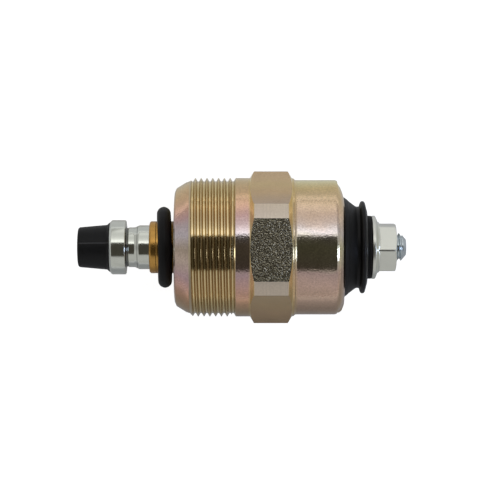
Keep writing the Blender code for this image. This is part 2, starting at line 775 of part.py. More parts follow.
def make_terminal_boot():
    """The rubber boot over the insulator: a flange under the rim, a cone, a neck and a sealing lip."""
    flange_radius = cavity_radius - LOOSE
    base_radius = rim_radius - SLIP
    lip_radius = boot_neck_radius + BOOT_LIP_RISE
    crest = boot_lip_front + BOOT_LIP_CREST
    outline = [
        (boot_flange_front, flange_radius),
        (boot_flange_rear, flange_radius),
        (boot_flange_rear, base_radius),
        (can_end, base_radius),
        (boot_cone_end, boot_neck_radius),
        (boot_lip_front, boot_neck_radius),
        *arc(crest, lip_radius - BOOT_LIP_ROUND, BOOT_LIP_ROUND, 165, 10, 4),
        (boot_rear - BOOT_END_FALL, boot_neck_radius),
        (boot_rear, boot_bore + BOOT_END_LAND),
        (boot_rear, boot_bore),
        (boot_flange_front, boot_bore),
    ]
    boot = turned("terminal_boot", outline, BOOT_SIDES)
    return finish(boot, new_material("boot_rubber", (0.022, 0.022, 0.022), 0.5), axis)


def make_terminal_washer():
    """The insulating washer under the nut."""
    outer = boss_radius
    bore = stud_radius + SLIP
    outline = [
        (washer_front, outer),
        (washer_rear, outer),
        (washer_rear, bore),
        (washer_front, bore),
    ]
    washer = turned("terminal_washer", outline, SHOWN_SIDES)
    return finish(washer, new_material("washer_fibre", (0.02, 0.02, 0.02), 0.6), axis)


def make_terminal_stud():
    """The terminal stud, with a hexagonal head that its pocket keeps from turning."""
    shank_front = stud_head_front + STUD_HEAD_THICKNESS / 2
    outline = [
        (shank_front, 0),
        (shank_front, stud_radius),
        (stud_end - STUD_POINT_LENGTH, stud_radius),
        (stud_end, STUD_POINT_DIAMETER / 2),
        (stud_end, 0),
    ]
    stud = turned("terminal_stud", outline, INNER_SIDES)
    finish(stud, new_material("stud_zinc", (0.62, 0.66, 0.66), 0.30, 1.0), axis)
    head = hexagon("stud_head", STUD_HEAD_ACROSS_FLATS, stud_head_front, stud_head_rear, cutters)
    return combine(stud, head, "UNION")


def make_terminal_nut():
    """The flanged nut on the stud: a chamfered hexagon on a sloping flange."""
    corner = NUT_ACROSS_FLATS / math.sqrt(3) - NUT_CORNER_CUT
    chamfer = (corner - NUT_ACROSS_FLATS / 2) * 2 * math.tan(NUT_CHAMFER)
    flange_radius = NUT_FLANGE_DIAMETER / 2
    rim_rear = nut_front + NUT_FLANGE_RIM
    bore = stud_radius + SLIP
    blank = [
        (rim_rear, corner),
        (nut_rear - chamfer, corner),
        (nut_rear, corner - chamfer / math.tan(NUT_CHAMFER)),
        (nut_rear, bore),
        (rim_rear, bore),
    ]
    flange = [
        (nut_front, flange_radius),
        (rim_rear, flange_radius),
        (nut_hex_front, NUT_ACROSS_FLATS / 2),
        (nut_hex_front, bore),
        (nut_front, bore),
    ]
    nut = turned("terminal_nut", blank, INNER_SIDES)
    finish(nut, new_material("nut_zinc", (0.70, 0.71, 0.67), 0.28, 1.0), axis)
    spare = NUT_HEX_LENGTH / 4
    bar = hexagon("nut_bar", NUT_ACROSS_FLATS, nut_front - spare, nut_rear + spare, cutters)
    bar.rotation_euler.z = NUT_TURN
    combine(nut, bar, "INTERSECT")
    return combine(nut, turned("nut_flange", flange, INNER_SIDES, cutters), "UNION")


def lead_route(way, reach):
    """A lead from the winding, straight back through its holes and then in towards the axis."""
    start = winding_rear + SEAT
    level = (plate_rear + stud_head_front) / 2
    radius = lead_circle_radius
    bend = [(y, z) for z, y in arc(level - LEAD_BEND, radius - LEAD_BEND, LEAD_BEND, 90, 0, 4)]
    straight = [(radius, start + (level - LEAD_BEND - start) * i / 3) for i in range(3)]
    inward = [(reach, level)]
    return [(0, way * y, z) for y, z in straight + bend + inward]


def make_leads():
    """The two ends of the winding: one to the head of the stud, and one to the earthed plate."""
    live = wire("live_lead", lead_route(1, stud_radius / 2), LEAD_DIAMETER)
    finish(live, new_material("live_lead_sleeving", (0.55, 0.08, 0.05), 0.5), axis)
    ground = wire("ground_lead", lead_route(-1, rivet_radius + LEAD_DIAMETER), LEAD_DIAMETER)
    return finish(ground, new_material("ground_lead_sleeving", (0.05, 0.05, 0.05), 0.5), axis)


clear_scene()
pieces = new_collection("fuel_shutoff_solenoid")
cutters = new_collection("cutters")
axis = new_empty(
    "solenoid_axis", location=(-middle, 0, flat_radius), rotation=(0, math.radians(90), 0)
)
slide = new_empty("plunger_slide", parent=axis)

make_housing()
make_guide_sleeve()
make_nose_o_ring()
make_plunger()
make_plunger_tip()
make_return_spring()
make_fixed_core()
make_core_shim()
make_core_o_ring()
make_coil_bobbin()
make_coil_winding()
make_coil_wrap()
make_coil_cushion()
make_rear_plate()
make_rear_seal_ring()
make_terminal_insulator()
make_terminal_boot()
make_terminal_washer()
make_terminal_stud()
make_terminal_nut()
make_leads()
for piece in pieces.objects:
    if piece.type == "MESH":
        bake(piece)
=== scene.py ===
# %% [markdown]
# # A fuel shutoff solenoid
# This is the electric valve that stops the fuel of a diesel injection pump. A threaded steel can holds a
# coil. The coil pulls a plunger with a rubber tip into the can, and a spring pushes it out again. The
# solids of all 22 pieces are already packed as a frame. This lesson dresses them: it turns the pieces that
# show again with fine edges and true threads, gives each piece a finish, and lights them as on a white
# table, seen from above.

# %% Load the frame
import math

import bpy
from mathutils import Euler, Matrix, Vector


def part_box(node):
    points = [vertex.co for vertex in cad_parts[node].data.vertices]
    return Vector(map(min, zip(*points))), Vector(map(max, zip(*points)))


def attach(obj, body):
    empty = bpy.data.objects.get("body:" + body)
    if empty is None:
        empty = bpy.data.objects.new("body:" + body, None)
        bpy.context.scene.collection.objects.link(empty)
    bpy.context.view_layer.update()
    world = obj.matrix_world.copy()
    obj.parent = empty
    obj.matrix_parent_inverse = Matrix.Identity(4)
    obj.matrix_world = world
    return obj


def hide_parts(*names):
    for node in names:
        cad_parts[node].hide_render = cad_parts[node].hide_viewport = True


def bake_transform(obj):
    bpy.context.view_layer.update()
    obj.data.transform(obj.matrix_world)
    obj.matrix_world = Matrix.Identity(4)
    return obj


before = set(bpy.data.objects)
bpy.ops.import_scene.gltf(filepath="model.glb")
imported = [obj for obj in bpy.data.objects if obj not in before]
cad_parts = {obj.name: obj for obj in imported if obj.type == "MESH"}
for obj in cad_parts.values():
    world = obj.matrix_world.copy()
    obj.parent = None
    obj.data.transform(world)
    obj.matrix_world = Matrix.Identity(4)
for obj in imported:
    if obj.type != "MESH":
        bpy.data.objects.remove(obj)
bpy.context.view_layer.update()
bpy.ops.object.select_all(action="DESELECT")

# %% [markdown]
# ## Where things lie
# The solenoid lies on one flat of its hexagon, with its axis along X. A turned piece is easiest to think of
# as a drawing for a lathe: each point has a station along the axis and a radius. So every outline below is
# a list of (station, radius) pairs in millimetres. Station 0 is the front face of the steel body, and that
# face and the height of the axis are read from the frame, so that the new pieces fit the solids.

# %% Stations, radii and angles
MM = 0.001
FRONT_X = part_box("housing")[0].x
AXIS_Z = sum(corner.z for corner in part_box("plunger")) / 2


def on_axis(station, radius=0.0, angle=0.0):
    """A point of the solenoid in metres. Angle 0 is the top, and 90 degrees is the +Y side."""
    turn = math.radians(angle)
    across = radius * MM * math.sin(turn)
    return Vector((FRONT_X + station * MM, across, AXIS_Z + radius * MM * math.cos(turn)))


def ends(node):
    """The first and last station of a solid."""
    return [(corner.x - FRONT_X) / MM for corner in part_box(node)]


def station_of(point):
    return (point.x - FRONT_X) / MM


def radius_of(point):
    return math.hypot(point.y, point.z - AXIS_Z) / MM


def angle_of(point):
    """The angle of a point round the axis in degrees, from -180 to 180, with 0 at the top."""
    return math.degrees(math.atan2(point.y, point.z - AXIS_Z))


print("front face at x =", round(FRONT_X, 6), "axis at z =", round(AXIS_Z, 6))

# %% [markdown]
# ## Turning on a lathe
# A lathe leaves shapes that are the same all round. They could be stacked from cylinders and cones, but
# then each joint would need cleaning. Here one point is drawn out edge by edge into the outline and spun
# once round the axis, which gives one clean skin. Real edges are never sharp: a tool or a tumbler breaks
# them. So each corner of the outline is first eased into a small curve, which also catches a line of light.

# %% Ease the corners of an outline
AROUND = 192  # steps round a turned piece


def eased(outline, reach, steps=5):
    """The outline with each corner that turns by more than 15 degrees replaced by a short curve."""
    points = [Vector(point) for point in outline]
    made = [points[0]]
    for before, corner, after in zip(points, points[1:], points[2:]):
        ahead, behind = after - corner, corner - before
        if behind.angle(ahead) < math.radians(15):
            made.append(corner)
            continue
        start = corner - behind.normalized() * min(reach, behind.length / 2.2)
        end = corner + ahead.normalized() * min(reach, ahead.length / 2.2)
        for i in range(steps + 1):
            t = i / steps
            made.append(start * (1 - t) ** 2 + corner * 2 * t * (1 - t) + end * t**2)
    return made + [points[-1]]


def arc(station, radius, size, start, end, steps=8):
    """Points of a round stretch. An angle of 0 points to the rear and 90 degrees away from the axis."""
    turns = [math.radians(start + (end - start) * i / steps) for i in range(steps + 1)]
    return [(station + size * math.cos(turn), radius + size * math.sin(turn)) for turn in turns]


print("a square corner, once eased, has", len(eased([(0, 0), (1, 0), (1, 1)], 0.2)) - 2, "points")

# %% Spin an outline into a piece
WELD = 0.002 * MM


def mode(name):
    bpy.ops.object.mode_set(mode=name)


def drawn(name, path):
    """A line drawn from one vertex by extrusion. It is left in edit mode, with all of it selected."""
    bpy.ops.mesh.primitive_plane_add(size=MM, location=path[0])
    piece = bpy.context.object
    piece.name = piece.data.name = name
    bpy.ops.object.transform_apply(location=True)
    mode("EDIT")
    bpy.ops.mesh.select_mode(type="VERT")
    bpy.ops.mesh.select_all(action="SELECT")
    bpy.ops.mesh.merge(type="CENTER")
    for here, there in zip(path, path[1:]):
        bpy.ops.mesh.extrude_region_move(TRANSFORM_OT_translate={"value": there - here})
    bpy.ops.mesh.select_all(action="SELECT")
    return piece


def turned(name, outline, ease=None, steps=AROUND):
    """Draws an outline, with its corners eased if wanted, and spins it once round the axis."""
    if ease:
        outline = eased(outline, ease)
    piece = drawn(name, [on_axis(*point) for point in outline])
    bpy.ops.mesh.spin(steps=steps, angle=math.tau, center=(0, 0, AXIS_Z), axis=(1, 0, 0))
    close_up()
    mode("OBJECT")
    print(name, "spun from an outline of", len(outline), "points")
    return piece


def close_up():
    """Merges the doubles of a mesh in edit mode and points its faces outwards."""
    bpy.ops.mesh.select_all(action="SELECT")
    bpy.ops.mesh.remove_doubles(threshold=WELD)
    bpy.ops.mesh.normals_make_consistent(inside=False)


# %% [markdown]
# ## Choosing faces by where they are
# With no window there is nothing to click on. A face is chosen by a rule about its middle and its normal
# instead, such as "its middle is on this stretch of the axis". The same rule also serves to give some faces
# of a piece a second finish.

# %% Select faces by a rule
def choose(piece, rule):
    """Leaves the piece in edit mode, with only the faces selected for which rule(middle, normal) holds."""
    bpy.context.view_layer.objects.active = piece
    bpy.context.tool_settings.mesh_select_mode = (False, False, True)
    mesh = piece.data
    for part in (mesh.vertices, mesh.edges, mesh.polygons):
        part.foreach_set("select", [False] * len(part))
    for face in mesh.polygons:
        face.select = bool(rule(face.center, face.normal))
    mode("EDIT")


# %% Cut flats, and find them again
def cut_flats(piece, across, turn=0.0, count=6):
    """Mills flats all round the axis: each is one cut with a plane, filled with a new face.

    The threshold has to be tiny. With the usual one, which is 0.1 mm here, points that lie just under
    a flat are pulled into its cut, and the piece comes out open.
    """
    bpy.context.view_layer.objects.active = piece
    mode("EDIT")
    for i in range(count):
        angle = turn + 360 * i / count
        outwards = on_axis(0, 1, angle) - on_axis(0)
        bpy.ops.mesh.select_all(action="SELECT")
        bpy.ops.mesh.bisect(
            plane_co=on_axis(0, across / 2, angle),
            plane_no=outwards.normalized(),
            use_fill=True,
            clear_outer=True,
            threshold=0.0005 * MM,
        )
    mode("OBJECT")
    print(piece.name, "has", count, "flats,", across, "mm across")


def on_flat(across, turn=0.0, count=6):
    """The rule for the faces of such flats."""
    step = 360 / count

    def rule(middle, normal):
        angle = math.degrees(math.atan2(normal.y, normal.z))
        nearest = turn + step * round((angle - turn) / step)
        away = (middle - on_axis(0)).dot(on_axis(0, 1, nearest) - on_axis(0)) / MM / MM
        return abs(angle - nearest) < 0.2 and abs(normal.x) < 0.01 and abs(away - across / 2) < 0.01

    return rule


# %% [markdown]
# ## Combining and finishing pieces
# A Boolean joins a piece with another or cuts it. The last step is the same for every piece: faces that meet
# at under 22 degrees are shaded as one surface, large faces lead the shading so that flats stay flat, and
# the piece takes the place of its plain solid, on the body that it rides with.

# %% Combine, finish and paint
def pick(piece):
    """Makes a piece the only one selected, and the active one."""
    bpy.ops.object.select_all(action="DESELECT")
    piece.select_set(True)
    bpy.context.view_layer.objects.active = piece


def combine(piece, tool, operation):
    """Joins or cuts one piece with another, which is used up."""
    bpy.context.view_layer.objects.active = piece
    boolean = piece.modifiers.new(operation.title(), "BOOLEAN")
    boolean.operation = operation
    boolean.object = tool
    boolean.solver = "EXACT"
    bpy.ops.object.modifier_apply(modifier=boolean.name)
    bpy.data.objects.remove(tool)


def finish(piece, body, slot, node, *materials):
    """Shades a piece, lets its large faces lead the shading, and sets it in place of its plain solid.

    A piece that is stretched between two bodies has no body of its own here.
    """
    pick(piece)
    bpy.ops.object.shade_smooth_by_angle(angle=math.radians(22))
    weighted = piece.modifiers.new("Large faces lead", "WEIGHTED_NORMAL")
    weighted.keep_sharp = True
    bpy.ops.object.modifier_apply(modifier=weighted.name)
    piece.select_set(False)
    for material in materials:
        piece.data.materials.append(material)
    if body:
        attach(piece, body)
    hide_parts(node)
    print(piece.name, "has", len(piece.data.polygons), "faces")


def paint(piece, index, rule):
    """Gives the faces for which the rule holds another of the piece's materials."""
    chosen = [face for face in piece.data.polygons if rule(face.center, face.normal)]
    for face in chosen:
        face.material_index = index
    print(piece.name, "finish", index, "on", len(chosen), "faces")


# %% [markdown]
# ## Building finishes from nodes
# Each finish is a Principled shader fed by a few textures. Setting up nodes by hand takes many lines, so one
# small helper adds a node, sets its options and wires its inputs. What more than one finish uses, such as
# the grain of a surface, is a node group with named inputs and outputs.

# %% Helpers for nodes
def add(tree, kind, inputs=None, **options):
    """A new node. An input given as a socket is wired up, and any other value is set on its socket."""
    made = tree.nodes.new("ShaderNode" + kind)
    for option, value in options.items():
        setattr(made, option, value)
    for socket, value in (inputs or {}).items():
        if isinstance(value, bpy.types.NodeSocket):
            tree.links.new(value, made.inputs[socket])
        else:
            made.inputs[socket].default_value = value
    return made


def compute(tree, operation, *values):
    """The result of a Math node."""
    return add(tree, "Math", dict(enumerate(values)), operation=operation).outputs[0]


def ramp(tree, value, stops):
    """The colour at a value between stops of (place, colour)."""
    made = add(tree, "ValToRGB", {0: value})
    elements = made.color_ramp.elements
    while len(elements) < len(stops):
        elements.new(1.0)
    for element, (place, colour) in zip(elements, stops):
        element.position = place
        element.color = (*colour, 1) if isinstance(colour, tuple) else (colour, colour, colour, 1)
    return made.outputs[0]


def centred(stops, span):
    """Stops for a value that is 0.5 in the middle of a span. Their places are given from that middle."""
    return [(place / span + 0.5, level) for place, level in stops]


def mix(tree, share, first, second, kind="MIX"):
    """Two colours mixed."""
    inputs = {0: share, 6: first, 7: second}
    return add(tree, "Mix", inputs, data_type="RGBA", blend_type=kind).outputs[2]


def shaded(tree, colour, value, low, high):
    """A colour multiplied by between low and high as a value goes from 0 to 1."""
    return mix(tree, 1.0, colour, mix(tree, value, (low, low, low, 1), (high, high, high, 1)), "MULTIPLY")


def tones(tree, value, colour, low):
    """Between a darker tone of a colour and the colour itself."""
    return mix(tree, value, (*(channel * low for channel in colour), 1), (*colour, 1))


# %% Helpers for groups and materials
def new_group(name, inputs, outputs):
    """An empty node group, the sockets to read its inputs from and those to feed its outputs."""
    tree = bpy.data.node_groups.new(name, "ShaderNodeTree")
    for title, value in inputs.items():
        kind = "NodeSocketColor" if isinstance(value, tuple) else "NodeSocketFloat"
        socket = tree.interface.new_socket(title, in_out="INPUT", socket_type=kind)
        socket.default_value = value
    for title, kind in outputs.items():
        tree.interface.new_socket(title, in_out="OUTPUT", socket_type=kind)
    return tree, tree.nodes.new("NodeGroupInput").outputs, tree.nodes.new("NodeGroupOutput").inputs


def use(tree, group, inputs=None):
    """A group placed in a material with its own values, and its outputs."""
    made = add(tree, "Group", node_tree=group)
    for title, value in (inputs or {}).items():
        made.inputs[title].default_value = value
    return made.outputs


def new_finish(name, roughness, metallic=0.0, specular=0.5):
    """A material, its node tree and its shader."""
    material = bpy.data.materials.new(name)
    material.use_nodes = True
    shader = material.node_tree.nodes["Principled BSDF"]
    shader.inputs["Roughness"].default_value = roughness
    shader.inputs["Metallic"].default_value = metallic
    shader.inputs["Specular IOR Level"].default_value = specular
    print("material:", name)
    return material, material.node_tree, shader


def feed(tree, shader, colour=None, roughness=None, height=None, depth=0.01, strength=1.0):
    """Wires colour, roughness and relief into a shader. The depth of the relief is in millimetres."""
    if colour is not None:
        tree.links.new(colour, shader.inputs["Base Color"])
    if roughness is not None:
        tree.links.new(roughness, shader.inputs["Roughness"])
    if height is not None:
        bump = add(tree, "Bump", {"Height": height, "Distance": depth * MM, "Strength": strength})
        tree.links.new(bump.outputs["Normal"], shader.inputs["Normal"])


# %% [markdown]
# ## The grains that the finishes share
# A plated or moulded surface is never perfectly even. Three groups make what shows from a step away: grain
# the size of a fraction of a millimetre, the fine rings that a lathe tool leaves round a turned piece, and
# the place round the axis that the colours of the plating follow. They all read the object's own
# coordinates, in millimetres, so that nothing slides when the piece moves.

# %% Group: grain
tree, given, result = new_group(
    "grain",
    {"Size": 0.3, "Detail": 2.0},
    {"Height": "NodeSocketFloat", "Patches": "NodeSocketFloat"},
)
grain_group = tree
place = add(tree, "TexCoord").outputs["Object"]
fineness = compute(tree, "DIVIDE", 1 / MM, given["Size"])
look = {"Vector": place, "Scale": fineness, "Detail": given["Detail"], "Roughness": 0.6}
bits = add(tree, "TexNoise", look)
broad = compute(tree, "DIVIDE", fineness, 9.0)
patches = add(tree, "TexNoise", {"Vector": place, "Scale": broad, "Detail": 3.0})
tree.links.new(bits.outputs[0], result["Height"])
tree.links.new(patches.outputs[0], result["Patches"])
print(tree.name, "has", len(tree.nodes), "nodes")

# %% Group: rings left by the lathe
tree, given, result = new_group("lathe_rings", {"Spacing": 0.12}, {"Height": "NodeSocketFloat"})
rings_group = tree
place = add(tree, "TexCoord").outputs["Object"]
along = add(tree, "SeparateXYZ", {0: place}).outputs[0]
drift = add(tree, "TexNoise", {"Vector": place, "Scale": 90.0, "Detail": 1.0}).outputs[0]
lines = compute(tree, "DIVIDE", along, compute(tree, "MULTIPLY", given["Spacing"], MM))
lines = compute(tree, "ADD", lines, compute(tree, "MULTIPLY", drift, 1.5))
rings = add(tree, "TexNoise", {"W": lines, "Scale": 1.0, "Detail": 2.0}, noise_dimensions="1D")
tree.links.new(rings.outputs[0], result["Height"])
print(tree.name, "has", len(tree.nodes), "nodes")

# %% Group: place round the axis
tree, given, result = new_group(
    "round_the_axis",
    {"Wander": 0.05, "Patch Size": 6.0},
    {"Side": "NodeSocketFloat", "Station": "NodeSocketFloat"},
)
around_group = tree
place = add(tree, "TexCoord").outputs["Object"]
parts = add(tree, "SeparateXYZ", {0: place}).outputs
height = compute(tree, "SUBTRACT", parts[2], AXIS_Z)
turn = compute(tree, "ARCTAN2", parts[1], height)
side = compute(tree, "MULTIPLY_ADD", turn, 0.5 / math.pi, 0.5)
patch = compute(tree, "DIVIDE", 1 / MM, given["Patch Size"])
wandering = add(tree, "TexNoise", {"Vector": place, "Scale": patch, "Detail": 4.0}).outputs[0]
wandering = compute(tree, "MULTIPLY", compute(tree, "SUBTRACT", wandering, 0.5), given["Wander"])
tree.links.new(compute(tree, "ADD", side, wandering), result["Side"])
station = compute(tree, "DIVIDE", compute(tree, "SUBTRACT", parts[0], FRONT_X), MM)
tree.links.new(station, result["Station"])
print("groups:", sorted(group.name for group in bpy.data.node_groups))

# %% [markdown]
# ## Yellow zinc on the steel body
# The body is zinc plated and passivated yellow. The passivation is a film thinner than light is long, so it
# shimmers from lilac over pink and tan to a greenish yellow, and it turns gold on fillets and edges. A
# single gold colour would look painted. The colour here follows the place round the axis, wandering in soft
# patches, and passes from one set of colours on the front to another on the can. On the -Y side these
# colours are darker than on the +Y side, partly the film's own colour and partly painted shade. Bands at
# the edges and fillets turn it gold, more so at the sides. Turned surfaces, the thread and the turned
# corners share these colours. The flats keep the rough skin of the bar, which hardly shimmers and has
# colours of its own, darker on the -Y side in the same way.

# %% Group: colours of the yellow passivation
GOLD = (0.74, 0.54, 0.21)
# The stops on the -Y side, towards -95 degrees, are darker than those on the +Y side: partly the film's own
# colour, partly painted shade.
FRONT_COLOURS = [
    (-180, (0.70, 0.48, 0.42)),
    (-95, (0.46, 0.32, 0.17)),
    (-65, (0.60, 0.42, 0.24)),
    (-46, (0.78, 0.46, 0.29)),
    (-33, (0.70, 0.43, 0.36)),
    (-22, (0.58, 0.40, 0.41)),
    (-10, (0.64, 0.50, 0.42)),
    (2, (0.68, 0.54, 0.42)),
    (13, (0.70, 0.62, 0.64)),
    (20, (0.68, 0.54, 0.54)),
    (28, (0.71, 0.46, 0.43)),
    (38, (0.80, 0.50, 0.36)),
    (52, (0.80, 0.54, 0.31)),
    (72, (0.74, 0.56, 0.30)),
    (95, (0.70, 0.60, 0.30)),
    (180, (0.70, 0.48, 0.42)),
]
# The stops on the -Y side, towards -95 degrees, are darker than those on the +Y side: partly the film's own
# colour, partly painted shade.
CAN_COLOURS = [
    (-180, (0.72, 0.52, 0.40)),
    (-95, (0.50, 0.36, 0.20)),
    (-65, (0.58, 0.40, 0.27)),
    (-46, (0.72, 0.51, 0.38)),
    (-33, (0.69, 0.48, 0.39)),
    (-20, (0.60, 0.43, 0.38)),
    (-11, (0.66, 0.58, 0.44)),
    (2, (0.70, 0.66, 0.44)),
    (15, (0.71, 0.64, 0.62)),
    (22, (0.71, 0.57, 0.49)),
    (32, (0.78, 0.58, 0.44)),
    (45, (0.79, 0.59, 0.38)),
    (60, (0.80, 0.61, 0.30)),
    (76, (0.84, 0.76, 0.40)),
    (95, (0.78, 0.72, 0.36)),
    (180, (0.72, 0.52, 0.40)),
]
CAN_FROM, CAN_BY = 13.0, 21.0
GOLD_BANDS = [  # station of the middle, half width, level
    (-0.05, 0.35, 0.35),
    (13.35, 0.8, 0.9),
    (20.2, 0.85, 0.8),
    (28.4, 0.8, 0.35),
]
LONGEST = 30.0

tree, given, result = new_group("yellow_passivation", {"Gold": 0.6}, {"Color": "NodeSocketColor"})
passivation_group = tree
around = use(tree, around_group)
front_tint, can_tint = (
    ramp(tree, around["Side"], centred(colours, 360)) for colours in (FRONT_COLOURS, CAN_COLOURS)
)
towards_can = add(tree, "MapRange", {0: around["Station"], 1: CAN_FROM, 2: CAN_BY}).outputs[0]
film_colour_and_shade = mix(tree, towards_can, front_tint, can_tint)
band_stops = [(0.0, 0.0)]
for middle, half, level in GOLD_BANDS:
    for offset, share in ((-half, 0.0), (-half / 3, level), (half / 3, level), (half, 0.0)):
        band_stops.append((max(0.0, (middle + offset) / LONGEST), share))
bands = ramp(tree, compute(tree, "DIVIDE", around["Station"], LONGEST), band_stops)
sideways = compute(tree, "ABSOLUTE", compute(tree, "SUBTRACT", around["Side"], 0.5))
sideways = compute(tree, "MULTIPLY_ADD", sideways, 2.2, 0.45)
bands = compute(tree, "MULTIPLY", bands, sideways)
gilded = compute(tree, "MULTIPLY", bands, given["Gold"])
tree.links.new(mix(tree, gilded, film_colour_and_shade, (*GOLD, 1)), result["Color"])
print("passivation colours:", len(FRONT_COLOURS), "on the front,", len(CAN_COLOURS), "on the can")


# %% Finishes of the body
def zinc_turned():
    """Turned and plated: smooth, with fine rings and a faint orange peel."""
    material, tree, shader = new_finish("yellow_zinc_turned", 0.2, 1.0)
    tint = use(tree, passivation_group, {"Gold": 1.0})["Color"]
    grain = use(tree, grain_group, {"Size": 0.3, "Detail": 1.0})
    rings = use(tree, rings_group, {"Spacing": 0.1})
    cloudy = shaded(tree, tint, grain["Patches"], 0.88, 1.06)
    speckled = shaded(tree, cloudy, grain["Height"], 0.75, 1.25)
    relief = compute(tree, "ADD", grain["Height"], compute(tree, "MULTIPLY", rings["Height"], 0.06))
    rough = compute(tree, "MULTIPLY_ADD", grain["Patches"], 0.12, 0.07)
    feed(tree, shader, speckled, rough, relief, 0.014)
    return material


# The stops on the -Y side, from -95 to -55 degrees, are darker than those on the +Y side: partly the bar's
# own colour, partly painted shade.
BAR_COLOURS = [
    (-180, (0.50, 0.40, 0.27)),
    (-95, (0.44, 0.30, 0.165)),
    (-80, (0.47, 0.324, 0.177)),
    (-68, (0.57, 0.386, 0.213)),
    (-55, (0.606, 0.43, 0.228)),
    (-38, (0.63, 0.46, 0.26)),
    (-30, (0.375, 0.345, 0.255)),
    (30, (0.375, 0.345, 0.255)),
    (38, (0.60, 0.46, 0.33)),
    (52, (0.68, 0.485, 0.275)),
    (65, (0.73, 0.55, 0.295)),
    (78, (0.73, 0.53, 0.315)),
    (95, (0.72, 0.52, 0.305)),
    (180, (0.50, 0.40, 0.27)),
]


def zinc_bar():
    """The drawn skin of the bar, etched to a coarse sparkle before it was plated. It hardly shimmers."""
    material, tree, shader = new_finish("yellow_zinc_bar", 0.2, 1.0)
    side = use(tree, around_group, {"Wander": 0.03})["Side"]
    tint = ramp(tree, side, centred(BAR_COLOURS, 360))
    grain = use(tree, grain_group, {"Size": 0.25, "Detail": 1.5})
    feed(tree, shader, shaded(tree, tint, grain["Patches"], 0.9, 1.1), None, grain["Height"], 0.11)
    return material


def zinc_corner():
    """The turned corners of the hexagon, where the film is thin and greyer and the tool left it duller."""
    material, tree, shader = new_finish("yellow_zinc_corner", 0.35, 1.0)
    tint = use(tree, passivation_group, {"Gold": 0.3})["Color"]
    grain = use(tree, grain_group, {"Size": 0.25, "Detail": 1.5})
    rings = use(tree, rings_group, {"Spacing": 0.3})
    greyed = mix(tree, 0.75, tint, (0.68, 0.62, 0.50, 1))
    marks = compute(tree, "MULTIPLY", grain["Height"], 0.65)
    marks = compute(tree, "MULTIPLY_ADD", rings["Height"], 0.35, marks)
    feed(tree, shader, shaded(tree, greyed, marks, 0.75, 1.25), None, grain["Height"], 0.03)
    return material


def zinc_thread(name, warmth_and_shade):
    """Crests, flanks or chamfers, where the film is thicker and warmer than on the turned surfaces. The
    flanks get a darker tone: painted shade in the thread's grooves.
    """
    material, tree, shader = new_finish(name, 0.13, 1.0)
    tint = use(tree, passivation_group, {"Gold": 0.35})["Color"]
    grain = use(tree, grain_group, {"Size": 0.3, "Detail": 1.0})
    warm_tone_and_shade = mix(tree, 0.8, tint, (*warmth_and_shade, 1))
    feed(tree, shader, warm_tone_and_shade, None, grain["Height"], 0.004)
    return material


print("body finishes ready")

# %% [markdown]
# ## The steel body
# The real body is turned from hexagonal bar: nose, thread, shoulder, hexagon, and a thin can whose rim is
# rolled over the rubber boot when the coil is in. So it is made in the same order: the blank is turned, six
# flats are cut with a plane each, the thread is cut with a helical tool, and the rim gets a few touches of
# the rolling. Modelling the thread as stacked rings would be quicker, but its ends would give it away.

# %% Sizes of the body
NOSE_FACE_RADIUS = 10.14
NOSE_RADIUS = 11.45
THREAD_START = 2.6
THREAD_END = 10.45
CREST_RADIUS = 11.975
THREAD_ROOT = 11.39
THREAD_PITCH = 1.0
HEX_START = 12.95
HEX_END = 20.15
ACROSS_FLATS = 24.0
CORNER_RADIUS = 13.13
CAN_RADIUS = 11.63
CAN_ROOT = 0.75
CAN_END = 29.2
RIM_OUTLINE = [
    (27.0, CAN_RADIUS),
    (27.55, CAN_RADIUS),
    (27.95, 11.5),
    (28.32, 11.2),
    (28.65, 10.73),
    (28.9, 10.15),
    (29.08, 9.55),
    (29.18, 8.95),
]
RIM_TOUCHES = [  # station, radius, angle, (along, outwards) in mm, how far round it reaches in mm
    (28.4, 11.1, 90, (-0.2, -0.3), 9.0),
    (28.3, 11.2, -90, (0.0, -0.3), 5.0),
    (28.95, 10.1, -89, (0.12, 0.5), 1.6),
    (28.7, 10.7, -66, (0.04, -0.08), 1.5),
    (28.7, 10.7, 140, (0.0, -0.1), 3.0),
]
RIM_INSIDE = 28.0
RIM_RADIUS = 8.74
CAVITY_RADIUS = 9.79
FRONT_WALL = 3.0
SLEEVE_HOLE_RADIUS = 4.6
RECESS_RADIUS = 7.35
RECESS_DEPTH = 0.3
CHAMFER_SLOPE = math.tan(math.radians(30))
CORNER_EASE = 0.08


def groove(pitch, crest=CREST_RADIUS, root=THREAD_ROOT):
    """The outline of one thread groove: (distance from its middle, radius) from flank to flank."""
    depth = crest - root
    flank = math.tan(math.radians(30))
    crest_half = pitch * 0.05
    half = [
        (pitch / 2 - depth * flank - crest_half, root + depth * 0.015),
        (pitch / 2 - crest_half, crest),
    ]
    return [(-across, radius) for across, radius in reversed(half)] + [(0.0, root)] + half


